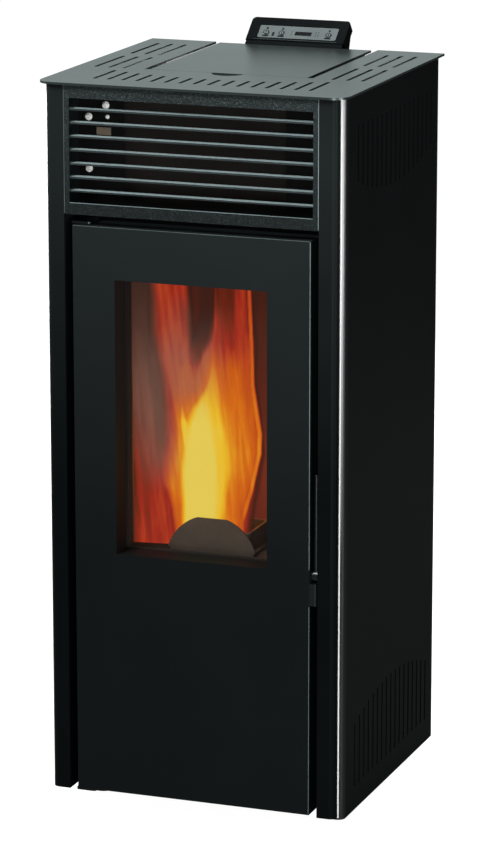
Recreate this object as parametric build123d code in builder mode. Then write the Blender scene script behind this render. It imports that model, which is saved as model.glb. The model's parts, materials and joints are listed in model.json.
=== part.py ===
"""Pellet stove: a slim sheet-metal casing round a firebox, a hopper, an auger and two fans.

Millimetres, +Z up. The origin is on the floor at the middle of the stove's footprint,
which runs from the front edge of the top plate to the end of the flue spigot.
The door faces -Y, and +X is to the right of someone who looks at the door.
"""
import os
from math import cos, radians, sin, sqrt

from build123d import *

os.makedirs("parts", exist_ok=True)

# ---------------------------------------------------------------- driving dimensions
# Casing
body_width = 410
body_depth = 400
stove_height = 980
panel_lift = 20
sheet = 2
plate_thickness = 3
plate_overhang = 6
plate_corner_radius = 22
spigot_reach = 60
back_drop = 38

# Front columns, trims and the returned edges of the side panels
column_width = 25.5
column_step = 5
column_bend = 9
column_foot = 6
trim_thickness = 2
trim_depth = 8
side_set_back = 18
side_bend = 10
side_return = 22
rear_return = 16

# Slots of the casing
slot_width = 5
front_slot_count = 16
front_slot_inset = 57.25
front_slot_start = 40
front_slot_end = 115
front_slot_rise = 31
wing_slot_count = 3
wing_slot_pitch = 20
wing_slot_inset = 40
wing_slot_front = 136
wing_slot_rear = 36
wing_slot_gap = 24
side_slot_count = 17
side_slot_front = 65
side_slot_rear = 32.6
upper_slot_drop = 45
upper_slot_length = 72
lower_slot_bottom = 53
lower_slot_length = 86
side_slot_bulge = 26

# Hopper lid, its slits and its finger notch
lid_side_lap = 5
lid_slit = 8
lid_front_lap = 11
lid_joint = 0.8
notch_radius = 22
notch_depth = 20
lid_pivot_inset = 5
lid_pivot_drop = 6.5
lid_pin_radius = 2.5
lid_ear_inset = 13
lid_ear_thickness = 3
seal_height = 5
seal_width = 8
seal_lap = 2

# Bulkhead that closes the cabinet behind the door
bulkhead_depth = 52
bulkhead_thickness = 2.5

# Upper grille
grille_height = 172
grille_gap = 0.3
grille_fall = 15
grille_side_border = 7.5
grille_top_border = 17
grille_bottom_border = 14.5
slat_count = 7
slat_pitch = 17.8
slat_drop = 34
slat_depth = 13
slat_thickness = 2.4

# Door
door_side_gap = 11
door_foot = 8
door_recess = 14
door_depth = 45
door_skin = 3
door_wall = 2
window_side = 58.5
window_head = 69
window_height = 367
collar_wall = 3
glass_depth = 34
glass_thickness = 4
glass_lap = 13
inner_frame_thickness = 2
gasket_width = 8
gasket_gap = 0.3
gasket_out = 20

# Door hinge
hinge_inset = 9.5
hinge_depth = 14
hinge_pin_radius = 4
hinge_clearance = 0.1
hinge_plate = 3
hinge_gap = 1.5
bush_wall = 2
bush_flange = 1
bush_length = 12

# Handle lever and latch
lever_out = 5.5
lever_radius = 4
lever_depth = 12
lever_drop = 6
lever_length = 135
lever_swing = 35
lever_hub_radius = 8
lever_hub_width = 7.6
latch_shaft_radius = 3.5
latch_arm_length = 30
latch_arm_thickness = 4
latch_arm_inset = 11.5
roller_radius = 4
latch_block_drop = 38
latch_block_depth = 26
latch_block_out = 9.8
running_gap = 0.5

# Firebox, liner, burn pot and ash box
throat_side = 5
throat_sill = 8
throat_head = 6
throat_depth = 70
firebox_side = 25
firebox_head = 23
firebox_wall = 4
firebox_rear_space = 185
liner_thickness = 14
pot_half_width = 50
pot_front = 84
pot_rear_space = 53
pot_drop = 40
pot_rise = 32
pot_wall = 4
pot_rim = 9
pot_clearance = 1
pot_plate_width = 123
pot_plate_height = 46
pot_plate_flat = 3.5
pot_plate_thickness = 3
ash_side = 17
ash_height = 156
ash_wall = 2
drawer_gap = 2
drawer_headroom = 10

# Heat exchanger on top of the firebox
exchanger_side = 10
exchanger_front = 80
exchanger_gap = 1
exchanger_drop = 25
exchanger_wall = 3
tube_count = 3
tube_pitch = 46
tube_radius = 15
tube_wall = 1.5
tube_drop = 130
tube_proud = 4
slip_gap = 0.1

# Hopper and auger
hopper_half_width = 104
hopper_front = 150
hopper_rear_space = 22
hopper_wall = 2
hopper_mouth_height = 95
hopper_neck_height = 45
hopper_lip = 4
rail_size = 15
rail_drop = 72
auger_drop = 34
auger_tube_radius = 28
auger_tube_wall = 2
auger_tube_end_space = 8
neck_rear_space = 70
neck_length = 60
neck_half_width = 33
screw_radius = 24
screw_pitch = 45
screw_shaft_radius = 7
flight_thickness = 3
grid_drop = 60
grid_bar = 4
grid_count = 6

# Fans
blower_inset = 78
blower_length = 110
blower_rear_space = 100
blower_z = 88
blower_radius = 30
blade_count = 16
blower_shaft = 4
exhaust_x = 80
exhaust_z = 150
exhaust_radius = 70
exhaust_rear_space = 125
exhaust_width = 50
exhaust_wheel_radius = 56
exhaust_blades = 8
exhaust_shaft = 4

# Rear connections
flue_inset = 83
flue_z = 272
flue_radius = 40
flue_wall = 1.5
flue_box_size = 94
flue_box_rear_space = 116
intake_x = -60
intake_rise = 70
intake_radius = 25
intake_wall = 2
intake_reach = 20
inlet_inset = 53
inlet_z = 240
inlet_width = 28
inlet_height = 20
inlet_rim = 3
switch_height = 13

# Control panel
control_x = -5
control_stand = 4
control_tilt = 40
control_width = 142
control_nose = 8
control_length = 50
control_thickness = 16
control_corner = 6
keypad_x = 1
keypad_y = 24
keypad_width = 113
keypad_height = 22
keypad_thickness = 1
button_xs = (-44.5, -22, 45.5)
button_y = 22
button_radius = 4.2
button_length = 5
button_proud = 0.8
button_bore_depth = 7
display_x = 9
display_y = 22.5
display_width = 24
display_height = 7
led_radius = 1.2
led_rise = 8

# ---------------------------------------------------------------- places that follow
face_y = plate_overhang - (plate_overhang + body_depth + spigot_reach) / 2
back_y = face_y + body_depth
side_x = body_width / 2
inner_x = side_x - sheet
plate_bottom = stove_height - plate_thickness
back_top = stove_height - back_drop
base_z = panel_lift + 4
bulkhead_back = bulkhead_depth + bulkhead_thickness
panel_outer_depth = body_depth - sheet
panel_inner_depth = panel_outer_depth - sheet

column_outer_x = side_x - column_step
column_inner_x = column_outer_x - column_width
column_bottom = panel_lift + column_foot
front_slot_pitch = 2 * (side_x - front_slot_inset) / (front_slot_count - 1)
wing_slot_middle = side_x - wing_slot_inset
wing_slot_length = (body_depth - wing_slot_front - wing_slot_gap - wing_slot_rear) / 2
wing_slot_starts = (wing_slot_front, wing_slot_front + wing_slot_length + wing_slot_gap)
side_slot_pitch = (body_depth - side_slot_front - side_slot_rear) / (side_slot_count - 1)
upper_slot_top = stove_height - upper_slot_drop

grille_bottom = stove_height - grille_height
slat_top = stove_height - slat_drop
door_half_width = column_inner_x - door_side_gap
door_bottom = panel_lift + door_foot
door_top = grille_bottom - door_recess
window_half_width = door_half_width - window_side
window_top = door_top - window_head
window_bottom = window_top - window_height
lever_x = door_half_width + lever_out
latch_arm_x = door_half_width - latch_arm_inset
lever_pivot_z = window_bottom - lever_drop
lever_top = lever_pivot_z + lever_length
latch_block_bottom = lever_pivot_z - latch_block_drop

throat_half_width = window_half_width + throat_side
throat_bottom = window_bottom - throat_sill
throat_top = window_top + throat_head
firebox_half_width = throat_half_width + firebox_side
firebox_bottom = throat_bottom - firebox_wall
firebox_top = throat_top + firebox_head
firebox_rear = body_depth - firebox_rear_space
firebox_inner_top = firebox_top - firebox_wall
pot_floor = firebox_bottom + firebox_wall
pot_rear = firebox_rear - pot_rear_space
pot_bottom = firebox_bottom - pot_drop
pot_rim_top = firebox_bottom + pot_rise
ash_half_width = firebox_half_width - ash_side
ash_bottom = firebox_bottom - ash_height

lid_half_width = hopper_half_width + lid_side_lap
lid_front = hopper_front - lid_front_lap
lid_rear = body_depth
lid_ear_x = lid_half_width - lid_ear_inset
lid_pivot_depth = body_depth - lid_pivot_inset
exchanger_half_width = firebox_half_width - exchanger_side
exchanger_rear = hopper_front - rail_size - exchanger_gap
exchanger_top = stove_height - exchanger_drop
tube_z = stove_height - tube_drop
hopper_rear = body_depth - hopper_rear_space
hopper_shoulder = stove_height - hopper_mouth_height
rail_bottom = stove_height - rail_drop
auger_z = firebox_top - auger_drop
hopper_neck_top = auger_z + hopper_neck_height
neck_rear = body_depth - neck_rear_space
neck_front = neck_rear - neck_length
auger_tube_end = neck_rear + auger_tube_end_space

blower_x = blower_inset - inner_x
blower_depth = body_depth - blower_rear_space
exhaust_front = body_depth - exhaust_rear_space
flue_x = inner_x - flue_inset
flue_box_front = body_depth - flue_box_rear_space
intake_z = ash_bottom + intake_rise
inlet_x = inlet_inset - inner_x
switch_z = inlet_z + (inlet_height + switch_height) / 2 + 2 * inlet_rim
control_front = body_depth + control_stand


def front_plane(depth):
    """Upright plane that faces the viewer, this far behind the faces of the columns."""
    return Plane.XZ.offset(-(face_y + depth))


def span(low_a, high_a, low_b, high_b, mode=Mode.ADD):
    """Rectangle between two pairs of limits on the sketch's own axes."""
    with Locations(((low_a + high_a) / 2, (low_b + high_b) / 2)):
        Rectangle(high_a - low_a, high_b - low_b, mode=mode)


def arc_edge(offset, half_chord, rise):
    """How far a shallow arc over this chord stands above its ends, at this offset."""
    radius = (half_chord**2 + rise**2) / (2 * rise)
    return sqrt(radius**2 - offset**2) - (radius - rise)


# ---------------------------------------------------------------- base and feet
base_half_width = inner_x - 0.5
base_front = bulkhead_back
base_rear = panel_inner_depth
base_flange = 15
foot_radius = 17
foot_height = 7
foot_stem = 4
foot_inset_x = 40
foot_inset_y = 35
nut_height = 6
foot_x = base_half_width - foot_inset_x
foot_front_y = face_y + base_front + foot_inset_y
foot_rear_y = face_y + base_rear - foot_inset_y
foot_mid_y = (foot_front_y + foot_rear_y) / 2

with BuildPart() as base_plate:
    with BuildSketch(Plane.XY.offset(base_z)):
        span(-base_half_width, base_half_width, face_y + base_front, face_y + base_rear)
    extrude(amount=base_flange)
    with BuildSketch(Plane.XY.offset(base_z + sheet)):
        inner_half = base_half_width - sheet
        span(-inner_half, inner_half, face_y + base_front + sheet, face_y + base_rear - sheet)
    extrude(amount=base_flange, mode=Mode.SUBTRACT)
    with BuildSketch(Plane.XY.offset(base_z)):
        with Locations((0, foot_mid_y)):
            with GridLocations(2 * foot_x, foot_rear_y - foot_front_y, 2, 2):
                Circle(foot_stem + 0.3)
    extrude(amount=sheet, mode=Mode.SUBTRACT)
base_plate.part.label = "base_plate"
export_step(base_plate.part, "parts/base_plate.step")

with BuildPart() as levelling_feet:
    with BuildSketch():
        with Locations((0, foot_mid_y)):
            with GridLocations(2 * foot_x, foot_rear_y - foot_front_y, 2, 2):
                Circle(foot_radius)
    extrude(amount=foot_height, taper=12)
    with BuildSketch(Plane.XY.offset(foot_height)):
        with Locations((0, foot_mid_y)):
            with GridLocations(2 * foot_x, foot_rear_y - foot_front_y, 2, 2):
                Circle(foot_stem)
    extrude(amount=base_z + sheet + nut_height - foot_height)
    with BuildSketch(Plane.XY.offset(base_z - nut_height)):
        with Locations((0, foot_mid_y)):
            with GridLocations(2 * foot_x, foot_rear_y - foot_front_y, 2, 2):
                RegularPolygon(foot_stem * 1.9, 6)
    extrude(amount=nut_height)
levelling_feet.part.label = "levelling_feet"
export_step(levelling_feet.part, "parts/levelling_feet.step")


# ---------------------------------------------------------------- side panels
def side_slot_limits(index):
    """Lower and upper ends of the two slots that stand at this place along the panel."""
    half_chord = side_slot_pitch * (side_slot_count - 1) / 2
    offset = index * side_slot_pitch - half_chord
    bulge = arc_edge(offset, half_chord, side_slot_bulge)
    upper = (upper_slot_top - upper_slot_length - bulge, upper_slot_top)
    lower = (lower_slot_bottom, lower_slot_bottom + lower_slot_length + bulge)
    return upper, lower


def side_panel(side):
    """One side panel: a sheet rounded into its front return, with a rear return and slots."""
    with BuildPart() as panel:
        front = face_y + side_set_back
        with BuildSketch(Plane.XY.offset(panel_lift)):
            span(side_x - side_return, side_x, front, back_y)
            corner = vertices().group_by(Axis.X)[-1].sort_by(Axis.Y)
            fillet(corner[0], side_bend)
            fillet(vertices().group_by(Axis.X)[-1].sort_by(Axis.Y)[-1], sheet)
            span(side_x - side_return, side_x - side_bend, front + sheet, back_y - sheet, Mode.SUBTRACT)
            span(side_x - side_bend, inner_x, front + side_bend, back_y - sheet, Mode.SUBTRACT)
            with Locations((side_x - side_bend, front + side_bend)):
                Circle(side_bend - sheet, mode=Mode.SUBTRACT)
            rear_edge = side_x - rear_return
            span(side_x - side_return, rear_edge, back_y - sheet, back_y, Mode.SUBTRACT)
        extrude(amount=plate_bottom - panel_lift)
        with BuildSketch(Plane.YZ.offset(inner_x)):
            for index in range(side_slot_count):
                along = face_y + side_slot_front + index * side_slot_pitch
                for low, high in side_slot_limits(index):
                    span(along - slot_width / 2, along + slot_width / 2, low, high)
        extrude(amount=sheet, mode=Mode.SUBTRACT)
        if side < 0:
            mirror(about=Plane.YZ, mode=Mode.REPLACE)
    return panel


side_panel_right = side_panel(1)
side_panel_right.part.label = "side_panel_right"
export_step(side_panel_right.part, "parts/side_panel_right.step")

side_panel_left = side_panel(-1)
side_panel_left.part.label = "side_panel_left"
export_step(side_panel_left.part, "parts/side_panel_left.step")


# ---------------------------------------------------------------- front columns and trims
def front_column(side):
    """One front column: a channel whose outer corner is rounded and whose inner leg is deep."""
    with BuildPart() as column:
        with BuildSketch(Plane.XY.offset(column_bottom)):
            span(column_inner_x, column_outer_x, face_y, face_y + bulkhead_depth)
            front_corners = vertices().group_by(Axis.Y)[0].sort_by(Axis.X)
            fillet(front_corners[-1], column_bend)
            inside_x = column_outer_x - sheet
            span(column_inner_x + sheet, inside_x - (column_bend - sheet), face_y + sheet,
                 face_y + bulkhead_depth, Mode.SUBTRACT)
            span(inside_x - (column_bend - sheet), inside_x, face_y + column_bend,
                 face_y + bulkhead_depth, Mode.SUBTRACT)
            with Locations((column_outer_x - column_bend, face_y + column_bend)):
                Circle(column_bend - sheet, mode=Mode.SUBTRACT)
            span(inside_x, column_outer_x, face_y + side_set_back - grille_gap,
                 face_y + bulkhead_depth, Mode.SUBTRACT)
        extrude(amount=plate_bottom - column_bottom)
        if side < 0:
            mirror(about=Plane.YZ, mode=Mode.REPLACE)
    return column


front_column_right = front_column(1)
front_column_right.part.label = "front_column_right"
export_step(front_column_right.part, "parts/front_column_right.step")

front_column_left = front_column(-1)
front_column_left.part.label = "front_column_left"
export_step(front_column_left.part, "parts/front_column_left.step")

with BuildPart() as corner_trims:
    near = face_y + side_set_back - grille_gap - trim_depth
    with BuildSketch(Plane.XY.offset(column_bottom)):
        span(column_outer_x, column_outer_x + trim_thickness, near, near + trim_depth)
        fillet(vertices().group_by(Axis.X)[-1], trim_thickness / 3)
        mirror(about=Plane.YZ)
    extrude(amount=plate_bottom - column_bottom)
corner_trims.part.label = "corner_trims"
export_step(corner_trims.part, "parts/corner_trims.step")

# ---------------------------------------------------------------- top plate
notch_half_width = lid_half_width + lid_slit
with BuildPart() as top_plate:
    with BuildSketch(Plane.XY.offset(plate_bottom)):
        plate_half = side_x + plate_overhang
        span(-plate_half, plate_half, face_y - plate_overhang, back_y + plate_overhang)
        fillet(vertices().group_by(Axis.Y)[0], plate_corner_radius)
        span(-notch_half_width, notch_half_width, face_y + lid_front,
             back_y + plate_overhang, Mode.SUBTRACT)
        notch_centre = face_y + lid_front + notch_radius - notch_depth
        with Locations((0, notch_centre)):
            Circle(notch_radius, mode=Mode.SUBTRACT)
        half_row = front_slot_pitch * (front_slot_count - 1) / 2
        for index in range(front_slot_count):
            across = index * front_slot_pitch - half_row
            rear = front_slot_end - arc_edge(across, half_row, front_slot_rise)
            with Locations((across, face_y + (front_slot_start + rear) / 2)):
                SlotOverall(rear - front_slot_start, slot_width, rotation=90, mode=Mode.SUBTRACT)
        for start in wing_slot_starts:
            for index in range(wing_slot_count):
                across = wing_slot_middle + (index - (wing_slot_count - 1) / 2) * wing_slot_pitch
                middle = face_y + start + wing_slot_length / 2
                with Locations((across, middle), (-across, middle)):
                    SlotOverall(wing_slot_length, slot_width, rotation=90, mode=Mode.SUBTRACT)
    extrude(amount=plate_thickness)
top_plate.part.label = "top_plate"
export_step(top_plate.part, "parts/top_plate.step")

# ---------------------------------------------------------------- bulkhead
air_half_width = 112
air_sill = 12
ash_open_half_width = ash_half_width - ash_wall
ash_open_bottom = ash_bottom + ash_wall
ash_open_top = firebox_bottom - 6
with BuildPart() as front_bulkhead:
    with BuildSketch(front_plane(bulkhead_depth)):
        span(-inner_x, inner_x, base_z, plate_bottom)
        span(-throat_half_width, throat_half_width, throat_bottom, throat_top, Mode.SUBTRACT)
        span(-air_half_width, air_half_width, grille_bottom + air_sill, exchanger_top,
             Mode.SUBTRACT)
        span(-ash_open_half_width, ash_open_half_width, ash_open_bottom, ash_open_top,
             Mode.SUBTRACT)
    extrude(amount=-bulkhead_thickness)
front_bulkhead.part.label = "front_bulkhead"
export_step(front_bulkhead.part, "parts/front_bulkhead.step")

# ---------------------------------------------------------------- upper grille
grille_half_width = column_inner_x - grille_gap
grille_top = plate_bottom - grille_gap
grille_open_half = grille_half_width - grille_side_border
with BuildPart() as grille_frame:
    with BuildSketch(front_plane(0)):
        span(-grille_half_width, grille_half_width, grille_bottom, grille_top)
    extrude(amount=-grille_fall)
    with BuildSketch(front_plane(sheet)):
        span(sheet - grille_half_width, grille_half_width - sheet,
             grille_bottom + sheet, grille_top - sheet)
    extrude(amount=-grille_fall, mode=Mode.SUBTRACT)
    with BuildSketch(front_plane(0)):
        span(-grille_open_half, grille_open_half, grille_bottom + grille_bottom_border,
             grille_top - grille_top_border)
    extrude(amount=-sheet, mode=Mode.SUBTRACT)
grille_frame.part.label = "grille_frame"
export_step(grille_frame.part, "parts/grille_frame.step")

with BuildPart() as grille_slats:
    with BuildSketch(Plane.YZ.offset(sheet - grille_half_width)):
        for index in range(slat_count):
            upper = slat_top - index * slat_pitch
            front = face_y + sheet
            span(front, front + slat_depth, upper - slat_thickness, upper)
        fillet(vertices().group_by(Axis.Y)[0], slat_thickness * 0.45)
    extrude(amount=2 * (grille_half_width - sheet))
grille_slats.part.label = "grille_slats"
export_step(grille_slats.part, "parts/grille_slats.step")

# ---------------------------------------------------------------- back panel
vent_count = 9
vent_pitch = 14
vent_length = 90
vent_bottom = 60
with BuildPart() as back_panel:
    with BuildSketch(front_plane(panel_inner_depth)):
        span(-inner_x, inner_x, base_z, back_top)
        with Locations((flue_x, flue_z)):
            Circle(flue_radius + 1, mode=Mode.SUBTRACT)
        with Locations((intake_x, intake_z)):
            Circle(intake_radius + slip_gap, mode=Mode.SUBTRACT)
        for index in range(vent_count):
            low = vent_bottom + index * vent_pitch
            span(blower_x - vent_length / 2, blower_x + vent_length / 2, low, low + slot_width,
                 Mode.SUBTRACT)
        span(inlet_x - inlet_width / 2, inlet_x + inlet_width / 2,
             inlet_z - inlet_height / 2, inlet_z + inlet_height / 2, Mode.SUBTRACT)
        span(inlet_x - inlet_width / 2, inlet_x + inlet_width / 2,
             switch_z - switch_height / 2, switch_z + switch_height / 2, Mode.SUBTRACT)
    extrude(amount=-sheet)
back_panel.part.label = "back_panel"
export_step(back_panel.part, "parts/back_panel.step")

# ---------------------------------------------------------------- firebox
gas_half_width = exchanger_half_width - 2 * exchanger_wall
gas_front = exchanger_front + 2 * exchanger_wall
gas_rear = exchanger_rear - 2 * exchanger_wall
pot_hole_half = pot_half_width + pot_clearance
chute_radius = auger_tube_radius - auger_tube_wall
igniter_x = 30
igniter_z = pot_bottom + 26
igniter_radius = 6
wall_low = pot_floor + slip_gap
wall_high = firebox_inner_top - slip_gap
wall_half = firebox_half_width - firebox_wall - slip_gap
with BuildPart() as firebox_shell:
    with BuildSketch(Plane.XY.offset(firebox_bottom)):
        span(-firebox_half_width, firebox_half_width, face_y + bulkhead_back,
             face_y + firebox_rear)
        span(-pot_hole_half, pot_hole_half, face_y + pot_front - pot_clearance,
             face_y + pot_rear + pot_clearance, Mode.SUBTRACT)
    extrude(amount=firebox_wall)
    with BuildSketch(Plane.XY.offset(firebox_inner_top)):
        span(-firebox_half_width, firebox_half_width, face_y + bulkhead_back,
             face_y + firebox_rear)
        span(-gas_half_width, gas_half_width, face_y + gas_front, face_y + gas_rear,
             Mode.SUBTRACT)
    extrude(amount=firebox_wall)
    with BuildSketch(Plane.XY.offset(wall_low)):
        span(firebox_half_width - firebox_wall, firebox_half_width,
             face_y + bulkhead_back, face_y + firebox_rear)
        mirror(about=Plane.YZ)
    extrude(amount=wall_high - wall_low)
    with BuildSketch(front_plane(bulkhead_back)):
        span(-wall_half, wall_half, wall_low, wall_high)
        span(-throat_half_width, throat_half_width, throat_bottom, throat_top, Mode.SUBTRACT)
    extrude(amount=-firebox_wall)
    with BuildSketch(front_plane(firebox_rear - firebox_wall)):
        span(-wall_half, wall_half, wall_low, wall_high)
        with Locations((0, auger_z)):
            Circle(chute_radius, mode=Mode.SUBTRACT)
    extrude(amount=-firebox_wall)
    rim = throat_half_width + sheet
    with BuildSketch(front_plane(bulkhead_back + firebox_wall + slip_gap)):
        span(-rim, rim, wall_low, throat_top + sheet)
        span(-throat_half_width, throat_half_width, wall_low, throat_top, Mode.SUBTRACT)
    extrude(amount=bulkhead_back + firebox_wall + slip_gap - throat_depth)
firebox_shell.part.label = "firebox_shell"
export_step(firebox_shell.part, "parts/firebox_shell.step")

liner_rear = firebox_rear - firebox_wall
liner_front = liner_rear - liner_thickness
liner_half = firebox_half_width - firebox_wall
liner_top = firebox_inner_top - 1
with BuildPart() as firebox_liner:
    with BuildSketch(front_plane(liner_front)):
        span(-liner_half, liner_half, pot_floor, liner_top)
        with Locations((0, auger_z)):
            Circle(chute_radius, mode=Mode.SUBTRACT)
    extrude(amount=-liner_thickness)
    with BuildSketch(Plane.XY.offset(pot_floor)):
        for side in (-1, 1):
            near = side * (liner_half - liner_thickness)
            span(min(near, side * liner_half), max(near, side * liner_half),
                 face_y + throat_depth + 2, face_y + liner_front - slip_gap)
    extrude(amount=liner_top - pot_floor)
firebox_liner.part.label = "firebox_liner"
export_step(firebox_liner.part, "parts/firebox_liner.step")

# ---------------------------------------------------------------- burn pot
pot_slot_count = 5
pot_slot_pitch = 14
with BuildPart() as burn_pot:
    with BuildSketch(Plane.XY.offset(pot_bottom)):
        span(-pot_half_width, pot_half_width, face_y + pot_front, face_y + pot_rear)
        fillet(vertices(), 6)
    extrude(amount=pot_rim_top - pot_bottom)
    with BuildSketch(Plane.XY.offset(pot_floor)):
        span(-pot_half_width - pot_rim, pot_half_width + pot_rim,
             face_y + pot_front - pot_rim, face_y + pot_rear + pot_rim)
    extrude(amount=pot_wall)
    with BuildSketch(Plane.XY.offset(pot_bottom + pot_wall)):
        span(pot_wall - pot_half_width, pot_half_width - pot_wall,
             face_y + pot_front + pot_wall, face_y + pot_rear - pot_wall)
        fillet(vertices(), 3)
    extrude(amount=pot_rim_top - pot_bottom, mode=Mode.SUBTRACT)
    with BuildSketch(Plane.XY.offset(pot_bottom)):
        with Locations((0, face_y + (pot_front + pot_rear) / 2)):
            with GridLocations(pot_slot_pitch, 1, pot_slot_count, 1):
                Rectangle(slot_width, pot_rear - pot_front - 6 * pot_wall)
    extrude(amount=pot_wall, mode=Mode.SUBTRACT)
burn_pot.part.label = "burn_pot"
export_step(burn_pot.part, "parts/burn_pot.step")

plate_foot_z = pot_floor + pot_wall
pot_plate_depth = pot_front - pot_rim
with BuildPart() as pot_front_plate:
    with BuildSketch(front_plane(pot_plate_depth)):
        with BuildLine():
            half_plate = pot_plate_width / 2
            crown = (0, plate_foot_z + pot_plate_height)
            Line((-half_plate, plate_foot_z), (half_plate, plate_foot_z))
            ThreePointArc((-half_plate, plate_foot_z), crown, (half_plate, plate_foot_z))
        make_face()
        span(-half_plate, half_plate, crown[1] - pot_plate_flat, crown[1], Mode.SUBTRACT)
    extrude(amount=-pot_plate_thickness)
pot_front_plate.part.label = "pot_front_plate"
export_step(pot_front_plate.part, "parts/pot_front_plate.step")

with BuildPart() as igniter:
    with BuildSketch(front_plane(pot_rear + pot_clearance)):
        with Locations((igniter_x, igniter_z)):
            Circle(igniter_radius)
    extrude(amount=-(firebox_rear - pot_rear - pot_clearance + 30))
    with BuildSketch(front_plane(firebox_rear)):
        with Locations((igniter_x, igniter_z)):
            RegularPolygon(igniter_radius * 1.7, 6)
    extrude(amount=-6)
igniter.part.label = "igniter"
export_step(igniter.part, "parts/igniter.step")

# ---------------------------------------------------------------- ash box and drawer
with BuildPart() as ash_box:
    with BuildSketch(Plane.XY.offset(ash_bottom)):
        span(-ash_half_width, ash_half_width, face_y + bulkhead_back, face_y + firebox_rear)
    extrude(amount=firebox_bottom - ash_bottom)
    with BuildSketch(Plane.XY.offset(ash_bottom + ash_wall)):
        span(ash_wall - ash_half_width, ash_half_width - ash_wall,
             face_y + bulkhead_back, face_y + firebox_rear - ash_wall)
    extrude(amount=firebox_bottom - ash_bottom, mode=Mode.SUBTRACT)
    with BuildSketch(front_plane(firebox_rear - ash_wall)):
        with Locations((intake_x, intake_z)):
            Circle(intake_radius - intake_wall)
        with Locations((igniter_x, igniter_z)):
            Circle(igniter_radius + slip_gap)
    extrude(amount=-ash_wall, mode=Mode.SUBTRACT)
ash_box.part.label = "ash_box"
export_step(ash_box.part, "parts/ash_box.step")

drawer_half = ash_half_width - ash_wall - drawer_gap
drawer_floor = ash_bottom + ash_wall
drawer_front = bulkhead_depth + 1
drawer_rear = firebox_rear - ash_wall - drawer_gap
drawer_height = pot_bottom - drawer_floor - drawer_headroom
drawer_grip_width = 70
drawer_grip_reach = 5
with BuildPart() as ash_drawer:
    with BuildSketch(Plane.XY.offset(drawer_floor)):
        span(-drawer_half, drawer_half, face_y + drawer_front, face_y + drawer_rear)
    extrude(amount=drawer_height)
    with BuildSketch(Plane.XY.offset(drawer_floor + ash_wall)):
        span(ash_wall - drawer_half, drawer_half - ash_wall,
             face_y + drawer_front + ash_wall, face_y + drawer_rear - ash_wall)
    extrude(amount=drawer_height, mode=Mode.SUBTRACT)
    with BuildSketch(Plane.XY.offset(drawer_floor + drawer_height * 0.7)):
        span(-drawer_grip_width / 2, drawer_grip_width / 2,
             face_y + drawer_front - drawer_grip_reach, face_y + drawer_front)
    extrude(amount=ash_wall)
ash_drawer.part.label = "ash_drawer"
export_step(ash_drawer.part, "parts/ash_drawer.step")

# ---------------------------------------------------------------- heat exchanger
tube_y = face_y + (exchanger_front + exchanger_rear) / 2
with BuildPart() as exchanger_box:
    with BuildSketch(Plane.XY.offset(firebox_top)):
        span(-exchanger_half_width, exchanger_half_width,
             face_y + exchanger_front, face_y + exchanger_rear)
    extrude(amount=exchanger_top - firebox_top)
    with BuildSketch(Plane.XY.offset(firebox_top)):
        span(exchanger_wall - exchanger_half_width, exchanger_half_width - exchanger_wall,
             face_y + exchanger_front + exchanger_wall, face_y + exchanger_rear - exchanger_wall)
    extrude(amount=exchanger_top - firebox_top - exchanger_wall, mode=Mode.SUBTRACT)
    with BuildSketch(Plane.YZ.offset(-exchanger_half_width)):
        with Locations((tube_y, tube_z)):
            with GridLocations(1, tube_pitch, 1, tube_count):
                Circle(tube_radius + slip_gap)
    extrude(amount=2 * exchanger_half_width, mode=Mode.SUBTRACT)
exchanger_box.part.label = "exchanger_box"
export_step(exchanger_box.part, "parts/exchanger_box.step")

with BuildPart() as exchanger_tubes:
    with BuildSketch(Plane.YZ.offset(-exchanger_half_width - tube_proud)):
        with Locations((tube_y, tube_z)):
            with GridLocations(1, tube_pitch, 1, tube_count):
                Circle(tube_radius)
                Circle(tube_radius - tube_wall, mode=Mode.SUBTRACT)
    extrude(amount=2 * (exchanger_half_width + tube_proud))
exchanger_tubes.part.label = "exchanger_tubes"
export_step(exchanger_tubes.part, "parts/exchanger_tubes.step")

# ---------------------------------------------------------------- hopper
seal_bottom = plate_bottom - seal_height
hopper_top = seal_bottom - grille_gap
neck_bottom = auger_z + 8


def funnel_section(top_low, top_high, neck_low, neck_high):
    """Corners of a four-sided section between the hopper's shoulder and its neck."""
    return [(top_low, hopper_shoulder), (top_high, hopper_shoulder),
            (neck_high, hopper_neck_top), (neck_low, hopper_neck_top)]


def funnel_wall(view, section, reach, cross_view, cross_section, cross_reach):
    """One slanting wall: its own section, cut to the width that its neighbours leave."""
    with BuildPart() as wall:
        with BuildSketch(view):
            with BuildLine():
                Polyline(*section, close=True)
            make_face()
        extrude(amount=reach)
        with BuildSketch(cross_view):
            with BuildLine():
                Polyline(*cross_section, close=True)
            make_face()
        extrude(amount=cross_reach, mode=Mode.INTERSECT)
    return wall


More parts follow.
